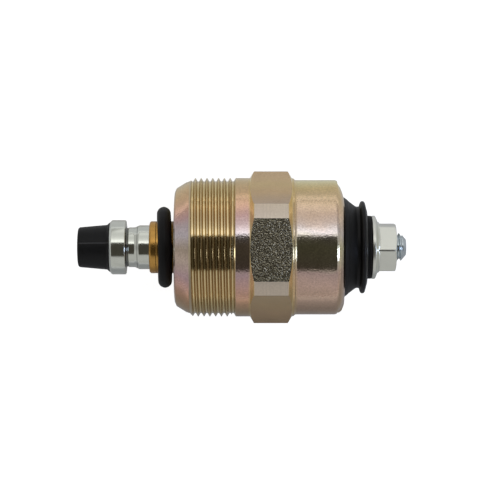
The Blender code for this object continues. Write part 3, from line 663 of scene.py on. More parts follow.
def body_outline():
    """The turned blank, along the outside to the rim and back through the bore."""
    chamfer = (CORNER_RADIUS - CREST_RADIUS) * CHAMFER_SLOPE
    relief = [(THREAD_END - 0.42 + across, radius) for across, radius in groove(THREAD_PITCH)]
    outside = [
        (0, RECESS_RADIUS),
        (0, NOSE_FACE_RADIUS - 0.6),
        (0.28, NOSE_FACE_RADIUS + 0.06),
        (THREAD_START - 0.72, NOSE_RADIUS - 0.26),
        (THREAD_START, NOSE_RADIUS),
        (THREAD_START + CREST_RADIUS - NOSE_RADIUS, CREST_RADIUS),
        *relief,
        (HEX_START, CREST_RADIUS),
        (HEX_START + chamfer, CORNER_RADIUS),
        (HEX_END - chamfer, CORNER_RADIUS),
        (HEX_END, CREST_RADIUS),
        *arc(HEX_END + CAN_ROOT, CAN_RADIUS + CAN_ROOT / 2, CAN_ROOT / 2, 200, 270, 5),
        *RIM_OUTLINE,
        (CAN_END, RIM_RADIUS),
    ]
    inside = [
        (RIM_INSIDE, RIM_RADIUS),
        (RIM_INSIDE, CAVITY_RADIUS),
        (FRONT_WALL, CAVITY_RADIUS),
        (FRONT_WALL, SLEEVE_HOLE_RADIUS),
        (RECESS_DEPTH, SLEEVE_HOLE_RADIUS),
        (RECESS_DEPTH, RECESS_RADIUS),
        (0, RECESS_RADIUS),
    ]
    return outside + inside


print("the blank's outline has", len(body_outline()), "corners")

# %% [markdown]
# ## Cutting a thread
# A screw thread is one groove wound round the bar. The tool that cuts it is drawn as the outline of that
# groove, and a Screw modifier carries it round and along at once. A Boolean then takes it out of the blank.
# At the shoulder the tool runs out into the groove that was turned there for it. Roots and crests are
# narrow flats. They mirror the lamps, while the flanks mirror each other, which makes them deep gold, and
# their finish is darker still: painted shade.

# %% A helical cutter
PROUD = 0.08  # how far the cutter stands out of the blank


def thread_tool(name, crest, root, pitch, first, last, steps=AROUND):
    """A cutter for a thread whose groove runs from one station to another."""
    profile = groove(pitch, crest, root)
    profile = [(profile[0][0], crest + PROUD), *profile, (profile[-1][0], crest + PROUD)]
    path = [on_axis(first + across, radius) for across, radius in profile]
    tool = drawn(name, [*path, path[0]])
    bpy.ops.mesh.remove_doubles(threshold=WELD)
    mode("OBJECT")
    turns = (last - first) / pitch
    bpy.context.scene.cursor.location = on_axis(0)
    bpy.ops.object.origin_set(type="ORIGIN_CURSOR")
    screw = tool.modifiers.new("Wind", "SCREW")
    screw.axis = "X"
    screw.angle = math.tau * turns
    screw.screw_offset = pitch * turns * MM
    screw.steps = screw.render_steps = round(turns * steps)
    screw.use_merge_vertices = False
    bpy.ops.object.modifier_apply(modifier=screw.name)
    bpy.ops.object.transform_apply(location=True)
    mode("EDIT")
    bpy.ops.mesh.select_all(action="DESELECT")
    bpy.ops.mesh.select_non_manifold()
    bpy.ops.mesh.fill_holes(sides=0)
    close_up()
    mode("OBJECT")
    print(name, "winds", round(turns, 2), "turns")
    return tool


# %% Press the rim here and there
def press(piece, station, radius, angle, push, reach):
    """Moves one spot of the rim and, less and less, what is near it. The rest of the piece is hidden."""
    spot = on_axis(station, radius, angle)
    outwards = (on_axis(0, 1, angle) - on_axis(0)) * push[1]
    choose(piece, lambda middle, normal: station_of(middle) > RIM_OUTLINE[2][0] and normal.x > 0.1)
    bpy.ops.mesh.hide(unselected=True)
    mode("OBJECT")
    nearest = min(piece.data.vertices, key=lambda vertex: (vertex.co - spot).length).co.copy()
    choose(piece, lambda middle, normal: (middle - nearest).length < 0.5 * MM and normal.x > 0.1)
    bpy.ops.transform.translate(
        value=(push[0] * MM, outwards.y, outwards.z),
        use_proportional_edit=True,
        proportional_edit_falloff="SMOOTH",
        proportional_size=reach * MM,
    )
    bpy.ops.mesh.reveal(select=False)
    mode("OBJECT")
    print("rim pressed at", angle, "degrees")


# %% Make the body
body = turned("steel_body", body_outline(), CORNER_EASE)
cut_flats(body, ACROSS_FLATS)
first, last = THREAD_START - 0.33, THREAD_END - 0.45
tool = thread_tool("thread_tool", CREST_RADIUS, THREAD_ROOT, THREAD_PITCH, first, last)
combine(body, tool, "DIFFERENCE")
for touch in RIM_TOUCHES:
    press(body, *touch)
finish(
    body,
    "solenoid_body",
    "yellow_zinc_steel",
    "housing",
    zinc_turned(),
    zinc_bar(),
    zinc_thread("yellow_zinc_thread", (0.84, 0.70, 0.36)),
    zinc_corner(),
    # The flanks' darker tone is painted shade in the thread's grooves.
    zinc_thread("yellow_zinc_flank_painted_shade", (0.60, 0.50, 0.30)),
    zinc_thread("yellow_zinc_chamfer", (0.96, 0.82, 0.38)),
)


def in_thread(middle, below=0.0):
    """Whether a face is one of the thread's, or lies at most a little below its root."""
    along = THREAD_START < station_of(middle) < THREAD_END + 0.05
    return along and radius_of(middle) > THREAD_ROOT - below


def on_chamfer(middle, normal):
    return HEX_START < station_of(middle) < HEX_END and abs(normal.x) > 0.3


def on_corner(middle, normal):
    return radius_of(middle) > CORNER_RADIUS - 0.03 and abs(normal.x) < 0.01


paint(body, 1, on_flat(ACROSS_FLATS))
paint(body, 5, on_chamfer)
paint(body, 2, lambda middle, normal: in_thread(middle, 0.1))
# The flanks take the finish with painted shade.
paint(body, 4, lambda middle, normal: in_thread(middle) and abs(normal.x) > 0.5)
paint(body, 3, on_corner)

# %% [markdown]
# ## Bright zinc on the plunger, the nut and the stud
# These are plated with zinc too, but passivated clear, which leaves a cool white metal with a hint of blue
# and green. It shows what it reflects, so its grain and its rings matter more than its colour.

# %% Clear zinc
def paint_shade_along(tree, tint, shade_stops):
    """A tint darkened along the axis: painted shade. The stops list (station, how much is left unshaded)."""
    first, last = shade_stops[0][0], shade_stops[-1][0]
    along = compute(tree, "SUBTRACT", use(tree, around_group)["Station"], first)
    along = compute(tree, "DIVIDE", along, last - first)
    unshaded = ramp(tree, along, [((place - first) / (last - first), level) for place, level in shade_stops])
    return mix(tree, 1.0, tint, unshaded, "MULTIPLY")


def zinc_clear(name, colour, roughness, grain_size=0.25, depth=0.006, ring_share=0.4, shade_stops=None):
    """Clear passivated zinc, faintly clouded, with painted shade along the axis where shade stops are given.
    """
    material, tree, shader = new_finish(name, roughness, 1.0)
    grain = use(tree, grain_group, {"Size": grain_size, "Detail": 2.0})
    rings = use(tree, rings_group, {"Spacing": 0.09})
    tint = tones(tree, grain["Patches"], colour, 0.88)
    # Painted shade along the axis, where stops are given.
    if shade_stops:
        tint = paint_shade_along(tree, tint, shade_stops)
    relief = compute(tree, "ADD", grain["Height"], compute(tree, "MULTIPLY", rings["Height"], ring_share))
    rough = compute(tree, "MULTIPLY_ADD", grain["Patches"], 0.12, roughness - 0.06)
    feed(tree, shader, tint, rough, relief, depth)
    return material


# %% [markdown]
# ## The plunger
# The moving armature is turned from one bar: a collar behind the rubber tip, a waist, a ramp up to the body
# that slides in the brass sleeve, and a blind bore behind for the spring. It rides on its own body, so it
# moves when the joint moves.

# %% Make the plunger
COLLAR_RADIUS = 4.7
COLLAR_FRONT = -11.25
COLLAR_REAR = -8.45
WAIST_RADIUS = 3.44
WAIST_END = -6.95
PLUNGER_RADIUS = 3.8
SPIGOT_RADIUS = 1.6
SPIGOT_HEAD_RADIUS = 2.2
SPIGOT_HEAD_LENGTH = 1.2
COLLAR_CHAMFER = 0.4
RAMP = 0.8  # how long the waist takes to widen to the body
SPRING_BORE = 2.3
SPRING_BORE_FRONT = 1.7
UNDERCUT = 0.11
FILLET = [(-0.36, 0.2), (-0.28, 0.11), (-0.18, 0.04), (-0.08, 0.01), (0.0, 0.0)]
# Painted shade in the undercut behind the collar and in the crease where the waist meets the ramp.
PAINTED_SHADE = [  # station, how much is left unshaded: painted shade
    (COLLAR_REAR - 0.02, 1.0),
    (COLLAR_REAR + 0.02, 0.2),
    (COLLAR_REAR + 0.36, 0.28),
    (COLLAR_REAR + 0.5, 1.0),
    (WAIST_END + 0.4, 1.0),
    (WAIST_END + 0.46, 0.5),
    (WAIST_END + 0.54, 0.5),
    (WAIST_END + 0.6, 1.0),
]

spigot_front, plunger_rear = ends("plunger")
plunger = turned(
    "plunger_turned",
    [
        (spigot_front, 0),
        (spigot_front, SPIGOT_HEAD_RADIUS),
        (spigot_front + SPIGOT_HEAD_LENGTH, SPIGOT_HEAD_RADIUS),
        (spigot_front + SPIGOT_HEAD_LENGTH, SPIGOT_RADIUS),
        (COLLAR_FRONT, SPIGOT_RADIUS),
        (COLLAR_FRONT, COLLAR_RADIUS - COLLAR_CHAMFER),
        (COLLAR_FRONT + 0.35, COLLAR_RADIUS - 0.03),
        (COLLAR_FRONT + 0.5, COLLAR_RADIUS),
        (COLLAR_REAR - 0.1, COLLAR_RADIUS),
        (COLLAR_REAR, COLLAR_RADIUS - 0.12),
        *[(COLLAR_REAR + 0.36 + along, WAIST_RADIUS - UNDERCUT + rise) for along, rise in FILLET],
        (COLLAR_REAR + 0.5, WAIST_RADIUS),
        (WAIST_END, WAIST_RADIUS),
        (WAIST_END + RAMP, PLUNGER_RADIUS),
        (plunger_rear - 0.2, PLUNGER_RADIUS),
        (plunger_rear, PLUNGER_RADIUS - 0.2),
        (plunger_rear, SPRING_BORE),
        (SPRING_BORE_FRONT, SPRING_BORE),
        (SPRING_BORE_FRONT, 0),
    ],
    0.1,
)
finish(
    plunger,
    "plunger_body",
    "plunger_zinc",
    "plunger",
    zinc_clear("plunger_zinc", (0.78, 0.80, 0.72), 0.14, shade_stops=PAINTED_SHADE),
)

# %% [markdown]
# ## Rubber
# The tip, the O-ring and the boot are black rubber. Black rubber is not black paint: it reflects a dull
# veil of the room, it has a fine moulded texture, and a little pale bloom sits on it. The colour stays
# very dark and the roughness does the work.


# %% One rubber recipe
def rubber(name, shade, roughness, grain_size=0.12, depth=0.01, bloom=0.5):
    """Moulded rubber with a fine texture and a slight bloom."""
    material, tree, shader = new_finish(name, roughness, 0.0, 0.2)
    grain = use(tree, grain_group, {"Size": grain_size, "Detail": 4.0})
    dark = (shade, shade * 0.96, shade * 0.95, 1)
    pale = (*[shade * (1 + bloom)] * 3, 1)
    tint = mix(tree, grain["Patches"], dark, pale)
    rough = compute(tree, "MULTIPLY_ADD", grain["Patches"], 0.2, roughness - 0.1)
    feed(tree, shader, tint, rough, grain["Height"], depth)
    return material


# %% [markdown]
# ## The rubber tip
# The tip is moulded over a headed spigot of the plunger, in a mould of two halves. Where the halves meet, a
# fine seam runs along each side. A seam in the texture would vanish at its ends, so it is raised from the
# mesh: two columns of faces on each side are inset, lifted by a few hundredths of a millimetre and left
# paler.

# %% Make the tip
TIP_FRONT_RADIUS = 3.475
TIP_REAR_RADIUS = 3.875
TIP_FLARE = 0.45
TIP_ROUND = 0.45
SEAM_ANGLE = 13.125
SEAM_HEIGHT = 0.05
SEAT = 0.05  # left between two faces that bear on each other

tip_front, tip_rear = ends("plunger_tip")
tip = turned(
    "rubber_tip",
    [
        (tip_front, 0),
        *arc(tip_front + TIP_ROUND, TIP_FRONT_RADIUS - TIP_ROUND, TIP_ROUND, 180, 90),
        (tip_rear - TIP_FLARE, TIP_REAR_RADIUS),
        (tip_rear, COLLAR_RADIUS - COLLAR_CHAMFER),
        (tip_rear, SPIGOT_RADIUS + SEAT),
        (spigot_front + SPIGOT_HEAD_LENGTH + SEAT, SPIGOT_RADIUS + SEAT),
        (spigot_front + SPIGOT_HEAD_LENGTH + SEAT, SPIGOT_HEAD_RADIUS + SEAT),
        (spigot_front - SEAT, SPIGOT_HEAD_RADIUS + SEAT),
        (spigot_front - SEAT, 0),
    ],
    0.06,
)


def on_seam(middle, normal):
    """The columns of faces where the halves of the mould met."""
    away = (angle_of(middle) - SEAM_ANGLE + 90) % 180 - 90
    outside = radius_of(middle) > TIP_FRONT_RADIUS - 0.05
    return outside and normal.x < 0.3 and abs(away) < 360 / AROUND


choose(tip, on_seam)
bpy.ops.mesh.inset(thickness=0.02 * MM, depth=SEAM_HEIGHT * MM)
mode("OBJECT")
finish(
    tip,
    "plunger_body",
    "tip_rubber",
    "plunger_tip",
    rubber("tip_rubber", 0.007, 0.42, 0.1), rubber("seam_rubber", 0.04, 0.5, 0.1),
)
paint(tip, 1, on_seam)

# %% [markdown]
# ## The brass sleeve and the O-ring
# The plunger slides in a thin brass tube that pokes out of the steel body. Its mouth is rounded and a
# shallow line is turned near it. A loose O-ring sits on the tube, slightly askew. It is a torus with the
# faint flash line that the mould leaves round its outside.

# %% Brass
def brass(name):
    """Drawn brass, gone brown in patches where hands have been, with painted shade between the O-ring and
    the nose.
    """
    material, tree, shader = new_finish(name, 0.24, 1.0)
    grain = use(tree, grain_group, {"Size": 0.3, "Detail": 2.0})
    rings = use(tree, rings_group, {"Spacing": 0.07})
    tone_and_shade = mix(tree, grain["Patches"], (0.46, 0.23, 0.05, 1), (0.74, 0.43, 0.12, 1))
    # Painted shade on the stretch of the sleeve between the O-ring and the nose.
    tone_and_shade = paint_shade_along(tree, tone_and_shade, [(-1.3, 1.0), (-0.8, 0.3), (0.0, 0.3)])
    relief = compute(tree, "ADD", grain["Height"], rings["Height"])
    rough = compute(tree, "MULTIPLY_ADD", grain["Patches"], -0.14, 0.34)
    feed(tree, shader, tone_and_shade, rough, relief, 0.006)
    return material


# %% Make the sleeve
SLEEVE_BORE = 3.9
SLEEVE_RADIUS = 4.5
SLEEVE_FLANGE_RADIUS = 6.0
SLEEVE_LINE = 1.15  # from the mouth back to the turned line
FLANGE_FRONT = FRONT_WALL + SEAT
FLANGE_REAR = FLANGE_FRONT + 0.8

sleeve_mouth, sleeve_rear = ends("guide_sleeve")
line = sleeve_mouth + SLEEVE_LINE
sleeve = turned(
    "brass_sleeve",
    [
        (sleeve_mouth, SLEEVE_BORE),
        *arc(sleeve_mouth + 0.4, SLEEVE_RADIUS - 0.4, 0.4, 180, 90, 6),
        (line, SLEEVE_RADIUS),
        (line + 0.08, SLEEVE_RADIUS - 0.06),
        (line + 0.16, SLEEVE_RADIUS),
        (FLANGE_FRONT, SLEEVE_RADIUS),
        (FLANGE_FRONT, SLEEVE_FLANGE_RADIUS),
        (FLANGE_REAR, SLEEVE_FLANGE_RADIUS),
        (FLANGE_REAR, SLEEVE_RADIUS),
        (sleeve_rear, SLEEVE_RADIUS),
        (sleeve_rear, SLEEVE_BORE),
        (sleeve_mouth, SLEEVE_BORE),
    ],
    0.05,
)
finish(sleeve, "solenoid_body", "sleeve_brass", "guide_sleeve", brass("sleeve_brass"))

# %% Make the O-ring
RING_RADIUS = 5.8
RING_SECTION = 2.4
RING_STATION = -1.85
RING_TILT = 1.0  # its +Y side towards the front
RING_LEAN = 3.0  # its top towards the rear
RING_AROUND = 160
RING_SECTION_SIDES = 40

ring_turn = Euler((0, math.radians(90 + RING_LEAN), math.radians(RING_TILT)))
ring_axis = ring_turn.to_matrix() @ Vector((0, 0, 1))

bpy.ops.mesh.primitive_torus_add(
    major_radius=RING_RADIUS * MM,
    minor_radius=RING_SECTION / 2 * MM,
    major_segments=RING_AROUND,
    minor_segments=RING_SECTION_SIDES,
    location=on_axis(RING_STATION),
    rotation=ring_turn,
)
ring = bpy.context.object
ring.name = "rubber_ring"
bpy.ops.object.transform_apply(location=True, rotation=True, scale=True)
choose(
    ring,
    lambda middle, normal: abs(normal.dot(ring_axis)) < 0.1
    and (middle - on_axis(RING_STATION)).length > RING_RADIUS * MM,
)
bpy.ops.mesh.inset(thickness=0.05 * MM, depth=0.02 * MM)
mode("OBJECT")
finish(ring, "solenoid_body", "ring_rubber", "nose_o_ring", rubber("ring_rubber", 0.005, 0.5, 0.16))

# %% [markdown]
# ## The rubber boot and its washer
# A rubber boot seals the terminal end. Its foot is held under the rolled rim, a cone narrows to a neck, and
# a thin lip flares out again. Its mould leaves faint steps, which show as soft rings. A flat black washer
# lies between the lip and the nut.

# %% Make the boot
BOOT_FOOT = 8.64
BOOT_NECK = 7.05
BOOT_LIP = 8.0
BOOT_BORE = 5.55
LIP_ROUND = 0.42
CONE_END = 31.25
NECK_END = 31.75
LIP_CREST = 32.35

foot_front, boot_rear = ends("terminal_boot")
cone = BOOT_NECK - BOOT_FOOT


def on_cone(share, lift=0.0):
    """A point of the cone, from 0 at the rim to 1 at the neck."""
    return (CAN_END + (CONE_END - CAN_END) * share, BOOT_FOOT + cone * share + lift)


boot = turned(
    "rubber_boot",
    [
        (foot_front, BOOT_BORE),
        (foot_front, CAVITY_RADIUS - 0.15),
        (RIM_INSIDE - SEAT, CAVITY_RADIUS - 0.15),
        (RIM_INSIDE - SEAT, BOOT_FOOT),
        on_cone(0.0),
        on_cone(0.30),
        on_cone(0.34, -0.05),
        on_cone(0.80, -0.05),
        (CONE_END, BOOT_NECK),
        (NECK_END, BOOT_NECK),
        *arc(LIP_CREST, BOOT_LIP - LIP_ROUND, LIP_ROUND, 165, 15),
        (boot_rear - 0.2, BOOT_NECK + 0.1),
        (boot_rear - 0.12, BOOT_NECK - 0.25),
        (boot_rear, BOOT_BORE + 0.9),
        (boot_rear, BOOT_BORE),
        (foot_front, BOOT_BORE),
    ],
    0.12,
)
finish(boot, "solenoid_body", "boot_rubber", "terminal_boot", rubber("boot_rubber", 0.006, 0.42, 0.14))

# %% Make the washer
WASHER_RADIUS = 5.45
STUD_HOLE_RADIUS = 2.55

washer_front, washer_rear = ends("terminal_washer")
washer = turned(
    "fibre_washer",
    [
        (washer_front, STUD_HOLE_RADIUS),
        (washer_front, WASHER_RADIUS),
        (washer_rear, WASHER_RADIUS),
        (washer_rear, STUD_HOLE_RADIUS),
        (washer_front, STUD_HOLE_RADIUS),
    ],
    0.1,
)
finish(
    washer,
    "solenoid_body",
    "washer_fibre",
    "terminal_washer",
    rubber("washer_fibre", 0.005, 0.6, 0.2, 0.02),
)

# %% [markdown]
# ## The nut
# A flanged hexagon nut clamps the cable eye on a vehicle. It is formed cold: the hexagon has rounded
# corners and a chamfered crown, and it blends into a sloping flange with a flat rim. The hexagon is cut
# from a turned blank with six planes, as on the body, and joined to a turned flange.

# %% Make the nut
NUT_ACROSS = 7.78
NUT_CORNER = 4.41
NUT_FLANGE = 5.475
NUT_MOUTH = 0.35
NUT_TURN = 35.0  # how far round the nut came to rest when it was tightened

nut_front, nut_rear = ends("terminal_nut")
nut_crown = (NUT_CORNER - NUT_ACROSS / 2 + 0.1) * CHAMFER_SLOPE
nut_hex_front = nut_front + 1.35
nut_lap = nut_front + 0.4  # the hexagon's blank starts inside the flange
nut = turned(
    "flange_nut",
    [
        (nut_lap, STUD_HOLE_RADIUS),
        (nut_lap, NUT_CORNER),
        (nut_rear - nut_crown, NUT_CORNER),
        (nut_rear - nut_crown / 2, NUT_CORNER - 0.14),
        (nut_rear - 0.02, NUT_ACROSS / 2 - 0.06),
        (nut_rear, NUT_ACROSS / 2 - 0.16),
        (nut_rear, STUD_HOLE_RADIUS + NUT_MOUTH),
        (nut_rear - NUT_MOUTH, STUD_HOLE_RADIUS),
        (nut_lap, STUD_HOLE_RADIUS),
    ],
)
cut_flats(nut, NUT_ACROSS, -NUT_TURN)
flange = turned(
    "nut_flange",
    [
        (nut_front, STUD_HOLE_RADIUS),
        (nut_front, NUT_FLANGE - 0.1),
        (nut_front + 0.1, NUT_FLANGE),
        (nut_front + 0.58, NUT_FLANGE),
        (nut_front + 0.72, NUT_FLANGE - 0.18),
        (nut_front + 1.05, NUT_CORNER + 0.04),
        (nut_hex_front, NUT_CORNER - 0.1),
        (nut_hex_front + 0.08, NUT_ACROSS / 2 - 0.1),
        (nut_hex_front + 0.08, STUD_HOLE_RADIUS),
        (nut_front, STUD_HOLE_RADIUS),
    ],
    0.1,
)
combine(nut, flange, "UNION")
finish(
    nut,
    "solenoid_body",
    "nut_zinc",
    "terminal_nut",
    zinc_clear("nut_zinc", (0.84, 0.85, 0.77), 0.3, 0.25, 0.02, 0.0),
)

# %% [markdown]
# ## The stud
# The terminal stud is a bolt: a hexagonal head that its pocket in the insulator keeps from turning, and a
# rolled thread that ends in a chamfered point. The same tool that cut the body's thread cuts this one.

# %% Make the stud
STUD_RADIUS = 2.45
STUD_ROOT = 1.99
STUD_PITCH = 0.8
STUD_POINT_RADIUS = 1.35
STUD_POINT = 0.95
STUD_HEAD_ACROSS = 7.0
STUD_HEAD_CORNER = 4.0
STUD_HEAD_LENGTH = 1.7
STUD_AROUND = 96

stud_front, stud_end = ends("terminal_stud")
stud = turned(
    "threaded_stud",
    [
        (stud_front + STUD_HEAD_LENGTH / 2, 0),
        (stud_front + STUD_HEAD_LENGTH / 2, STUD_RADIUS),
        (stud_end - STUD_POINT, STUD_RADIUS),
        (stud_end, STUD_POINT_RADIUS),
        (stud_end, 0),
    ],
    0.1,
    STUD_AROUND,
)
first, last = boot_rear - 0.2, stud_end + STUD_PITCH
tool = thread_tool("stud_tool", STUD_RADIUS, STUD_ROOT, STUD_PITCH, first, last, STUD_AROUND)
combine(stud, tool, "DIFFERENCE")
head = turned(
    "stud_head",
    [
        (stud_front, 0),
        (stud_front, STUD_HEAD_ACROSS / 2),
        (stud_front + 0.3, STUD_HEAD_CORNER),
        (stud_front + STUD_HEAD_LENGTH, STUD_HEAD_CORNER),
        (stud_front + STUD_HEAD_LENGTH, 0),
    ],
)
cut_flats(head, STUD_HEAD_ACROSS)
combine(stud, head, "UNION")
finish(
    stud,
    "solenoid_body",
    "stud_zinc",
    "terminal_stud",
    zinc_clear("stud_zinc", (0.66, 0.72, 0.74), 0.26, 0.2, 0.01, 0.0),
)

# %% [markdown]
# ## Finishes of the hidden pieces
# Inside are the core, the coil and its leads, the plate and the insulator. Their solids are right as they
# are, so they keep their meshes and only get a finish, each with its own grain.


# %% Finishes for the solids that stay
def inner(name, colour, roughness, metallic, size, depth, contrast=0.25):
    """A plain inner surface: one colour with a little variation and its own grain."""
    material, tree, shader = new_finish(name, roughness, metallic)
    grain = use(tree, grain_group, {"Size": size, "Detail": 3.0})
    tint = tones(tree, grain["Patches"], colour, 1 - contrast)
    feed(tree, shader, tint, None, grain["Height"], depth)
    return material


def wound_wire(name, colour, spacing):
    """Enamelled wire wound side by side: fine rings and a darker line between the turns."""
    material, tree, shader = new_finish(name, 0.3, 0.9)
    height = use(tree, rings_group, {"Spacing": spacing})["Height"]
    feed(tree, shader, tones(tree, height, colour, 0.45), None, height, 0.05)
    return material


seal_rubber = rubber("seal_rubber", 0.02, 0.6, 0.15)
INNER_FINISHES = {
    "fixed_core": inner("core_steel", (0.50, 0.50, 0.49), 0.4, 1.0, 0.3, 0.01),
    "core_shim": inner("shim_brass", (0.78, 0.56, 0.20), 0.3, 1.0, 0.2, 0.004),
    "core_o_ring": seal_rubber,
    "coil_cushion": seal_rubber,
    "rear_seal_ring": seal_rubber,
    "coil_bobbin": inner("bobbin_nylon", (0.76, 0.70, 0.56), 0.45, 0.0, 0.4, 0.01, 0.12),
    "coil_winding": wound_wire("enamelled_copper", (0.62, 0.24, 0.08), 0.2),
    "coil_wrap": inner("wrap_tape", (0.76, 0.62, 0.27), 0.4, 0.0, 0.5, 0.02, 0.2),
    "rear_plate": inner("plate_steel", (0.52, 0.52, 0.52), 0.42, 1.0, 0.3, 0.01),
    "terminal_insulator": inner("insulator_resin", (0.028, 0.026, 0.026), 0.4, 0.0, 0.25, 0.01),
    "live_lead": inner("live_lead_sleeving", (0.55, 0.07, 0.05), 0.5, 0.0, 0.2, 0.01),
    "ground_lead": inner("ground_lead_sleeving", (0.05, 0.05, 0.05), 0.5, 0.0, 0.2, 0.01),
}
for node, material in INNER_FINISHES.items():
    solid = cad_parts[node]
    solid.data.materials.clear()
    solid.data.materials.append(material)
print("finishes on", len(INNER_FINISHES), "solids that stay")

# %% [markdown]
# ## The return spring
# The spring sits in the plunger's bore and in the core's pocket. Its solid is the spring at rest, and would
# stand in the way when the plunger slides in. Here the same coil is a curve with a round section, which
# rides on no body of its own.

# %% Make the spring
SPRING_WIRE = 0.5
SPRING_RADIUS = 1.75
SPRING_TURNS = 6.5
POINTS_PER_TURN = 32
END_RISE = 1.25 * SPRING_WIRE
spring_front, spring_rear = ends("return_spring")
first_turn = spring_front + SPRING_WIRE / 2
last_turn = spring_rear - SPRING_WIRE / 2


def coil_station(turn):
    """The station of the wire: one turn at each end lies nearly flat, and the rest climb evenly."""
    from_end = min(turn, SPRING_TURNS - turn)
    if from_end <= 1:
        rise = END_RISE * from_end
        return first_turn + rise if turn < SPRING_TURNS / 2 else last_turn - rise
    share = (turn - 1) / (SPRING_TURNS - 2)
    return first_turn + END_RISE + (last_turn - first_turn - 2 * END_RISE) * share


route = [
    on_axis(coil_station(step / POINTS_PER_TURN), SPRING_RADIUS, 360 * step / POINTS_PER_TURN)
    for step in range(round(SPRING_TURNS * POINTS_PER_TURN) + 1)
]
wire = bpy.data.curves.new("spring_wire", "CURVE")
wire.dimensions = "3D"
wire.bevel_depth = SPRING_WIRE / 2 * MM
wire.bevel_resolution = 3
wire.use_fill_caps = True
line = wire.splines.new("POLY")
line.points.add(len(route) - 1)
for point, place in zip(line.points, route):
    point.co = (*place, 1)
spring = bpy.data.objects.new("wound_spring", wire)
bpy.context.collection.objects.link(spring)
pick(spring)
bpy.ops.object.convert(target="MESH")
mode("EDIT")
close_up()
mode("OBJECT")
finish(
    spring,
    None,
    "spring_steel",
    "return_spring",
    inner("spring_steel", (0.45, 0.46, 0.48), 0.3, 1.0, 0.15, 0.004),
)
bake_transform(spring)

# %% [markdown]
# ## The table
# The object lies on a white table. A table that is lit to pure white would flood the object with light from
# below. So its colour is a grey that catches a soft shadow, and a little glow lifts what the camera sees of
# it to white. The metal mirrors another glow, which is painted light and shade: a painted shadow under the
# object and on its -Y side, and painted light further away, most on the +Y side.

# %% Make the table
TABLE_SIZE = 4.0
TABLE_GLOW = 0.88
GLOW_REACH = 400
# Painted reflected light and shade: dark close to the object on its -Y side, brighter further away and on
# the +Y side.
PAINTED_TABLE_LIGHT_AND_SHADE = [  # place across the table in mm, level
    (-400, 0.28),
    (-150, 0.22),
    (-63, 0.07),
    (-31, 0.03),
    (0, 0.15),
    (19, 0.34),
    (38, 0.30),
    (81, 0.30),
    (140, 0.48),
    (400, 0.60),
]

bpy.ops.mesh.primitive_plane_add(size=TABLE_SIZE, location=(0, 0, 0))
table = bpy.context.object
table.name = "table"
table_paint, tree, shader = new_finish("table_paint", 0.9)
shader.inputs["Base Color"].default_value = (0.5, 0.5, 0.5, 1)
shader.inputs["Specular IOR Level"].default_value = 0.0
path = add(tree, "LightPath")
mirrored_painted_light = compute(tree, "MAXIMUM", path.outputs["Is Glossy Ray"], path.outputs["Is Transmission Ray"])
place = add(tree, "TexCoord").outputs["Object"]
away = add(tree, "SeparateXYZ", {0: place}).outputs[1]
away = compute(tree, "MULTIPLY_ADD", away, 0.5 / (GLOW_REACH * MM), 0.5)
level = ramp(tree, away, centred(PAINTED_TABLE_LIGHT_AND_SHADE, 2 * GLOW_REACH))
# What metal mirrors of the table is this painted light and shade.
mirrored_painted_light = compute(tree, "MULTIPLY", mirrored_painted_light, level)
glow = compute(tree, "MULTIPLY_ADD", path.outputs["Is Camera Ray"], TABLE_GLOW, mirrored_painted_light)
shader.inputs["Emission Color"].default_value = (1, 1, 1, 1)
tree.links.new(glow, shader.inputs["Emission Strength"])
table.data.materials.append(table_paint)
print("table", TABLE_SIZE, "m across")

# %% [markdown]
# ## The studio
# Polished metal shows the room. The bright line along the top of each turned piece is a long soft lamp just
# behind the zenith, the dark band beside it is the unlit ceiling round the camera, and the pale sides are
# the walls. Past the two ends of the object the ceiling gives way to pale end walls, and a small cool lamp
# there makes the glints on the fillets. Lamps hung as objects would get in the way of a view from above, so
# the room is painted on the world instead, by direction. What the camera sees of it stays white.

# %% Paint the room on the world
world = bpy.data.worlds.new("studio")
bpy.context.scene.world = world
world.use_nodes = True
tree = world.node_tree
tree.nodes.clear()
direction = add(tree, "TexCoord").outputs["Generated"]
way = add(tree, "SeparateXYZ", {0: direction}).outputs


def lean(sideways):
    """How far a direction leans from straight up, as a share of a half turn with 0.5 straight up."""
    return compute(tree, "MULTIPLY_ADD", compute(tree, "ARCTAN2", sideways, way[2]), 1 / math.pi, 0.5)


ROOM_LEVEL = 2.0
CEILING = (0.028, 0.026, 0.021)
ROOM_ACROSS = [  # lean to either side in degrees, level
    (-90, 0.215),
    (-66, 0.255),
    (-45, 0.25),
    (-39, 0.23),
    (-37, CEILING),
    (21.5, CEILING),
    (23.5, 0.76),
    (31, 0.64),
    (38, 0.44),
    (50, 0.36),
    (62, 0.335),
    (75, 0.42),
    (90, 0.40),
]
OPEN_ENDS = [(-40, 1.0), (-31, 0.0), (31, 0.0), (40, 1.0)]
END_WALLS = [(-90, 0.25), (-28, 0.25), (-10, 0.19), (6, 0.19), (25, 0.25), (90, 0.25)]
END_LAMP = (2.45, 2.85, 3.9)
LAMP_ACROSS = (-11, 8, 5)  # middle, half width and softness in degrees
LAMP_ALONG = (49, 10, 4)


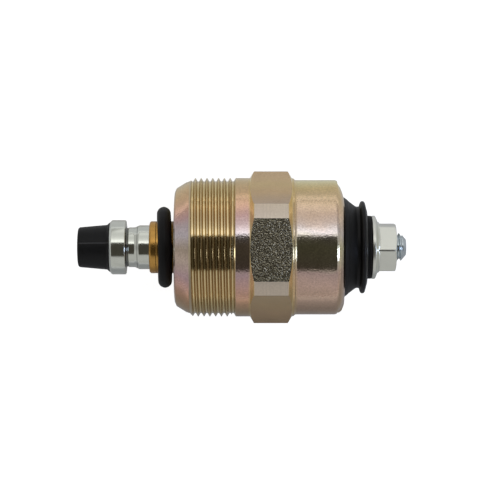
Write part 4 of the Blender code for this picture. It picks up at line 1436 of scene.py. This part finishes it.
def near(value, middle, half, soft):
    """1 where a lean lies within half degrees of a middle, falling to 0 over soft degrees."""
    distance = compute(tree, "ABSOLUTE", compute(tree, "SUBTRACT", value, middle / 180 + 0.5))
    inputs = {0: distance, 1: half / 180, 2: (half + soft) / 180, 3: 1.0, 4: 0.0}
    return add(tree, "MapRange", inputs, interpolation_type="SMOOTHSTEP").outputs[0]


across, open_ends, end_walls = (
    ramp(tree, lean(sideways), centred(stops, 180))
    for sideways, stops in ((way[1], ROOM_ACROSS), (way[0], OPEN_ENDS), (way[1], END_WALLS))
)
room = mix(tree, open_ends, across, end_walls)
end_lamp = compute(tree, "MULTIPLY", near(lean(way[1]), *LAMP_ACROSS), near(lean(way[0]), *LAMP_ALONG))
room = mix(tree, end_lamp, room, (*END_LAMP, 1))
lit = add(tree, "Background", {0: room, 1: ROOM_LEVEL})
white = add(tree, "Background", {0: (1, 1, 1, 1), 1: 1.0})
camera_ray = add(tree, "LightPath").outputs["Is Camera Ray"]
shown = add(tree, "MixShader", {0: camera_ray, 1: lit.outputs[0], 2: white.outputs[0]})
add(tree, "OutputWorld", {0: shown.outputs[0]})
print("studio painted")

# %% [markdown]
# ## The camera
# The photographer stood over the table with a long lens, a couple of degrees off the vertical. Two things
# give that away: the top flat sits a little below the axis in the picture, and the ends of the threads
# shift as they come closer to the lens.

# %% Set up the camera
LENS = 151.0
SENSOR = 36.0
DISTANCE = 0.363
OFF_VERTICAL = math.radians(2.3)
AIM = (1.37 * MM, -0.48 * MM)

camera_data = bpy.data.cameras.new("camera")
camera_data.lens = LENS
camera_data.sensor_width = SENSOR
camera_data.clip_start = 0.01
camera_data.clip_end = 20.0
camera = bpy.data.objects.new("camera", camera_data)
bpy.context.scene.collection.objects.link(camera)
rise = DISTANCE * math.cos(OFF_VERTICAL)
camera.location = (AIM[0], AIM[1] + DISTANCE * math.sin(OFF_VERTICAL), AXIS_Z + rise)
camera.rotation_euler = (-OFF_VERTICAL, 0, 0)
bpy.context.scene.camera = camera
bpy.context.scene.view_settings.view_transform = "Standard"
print("camera at", camera.location)
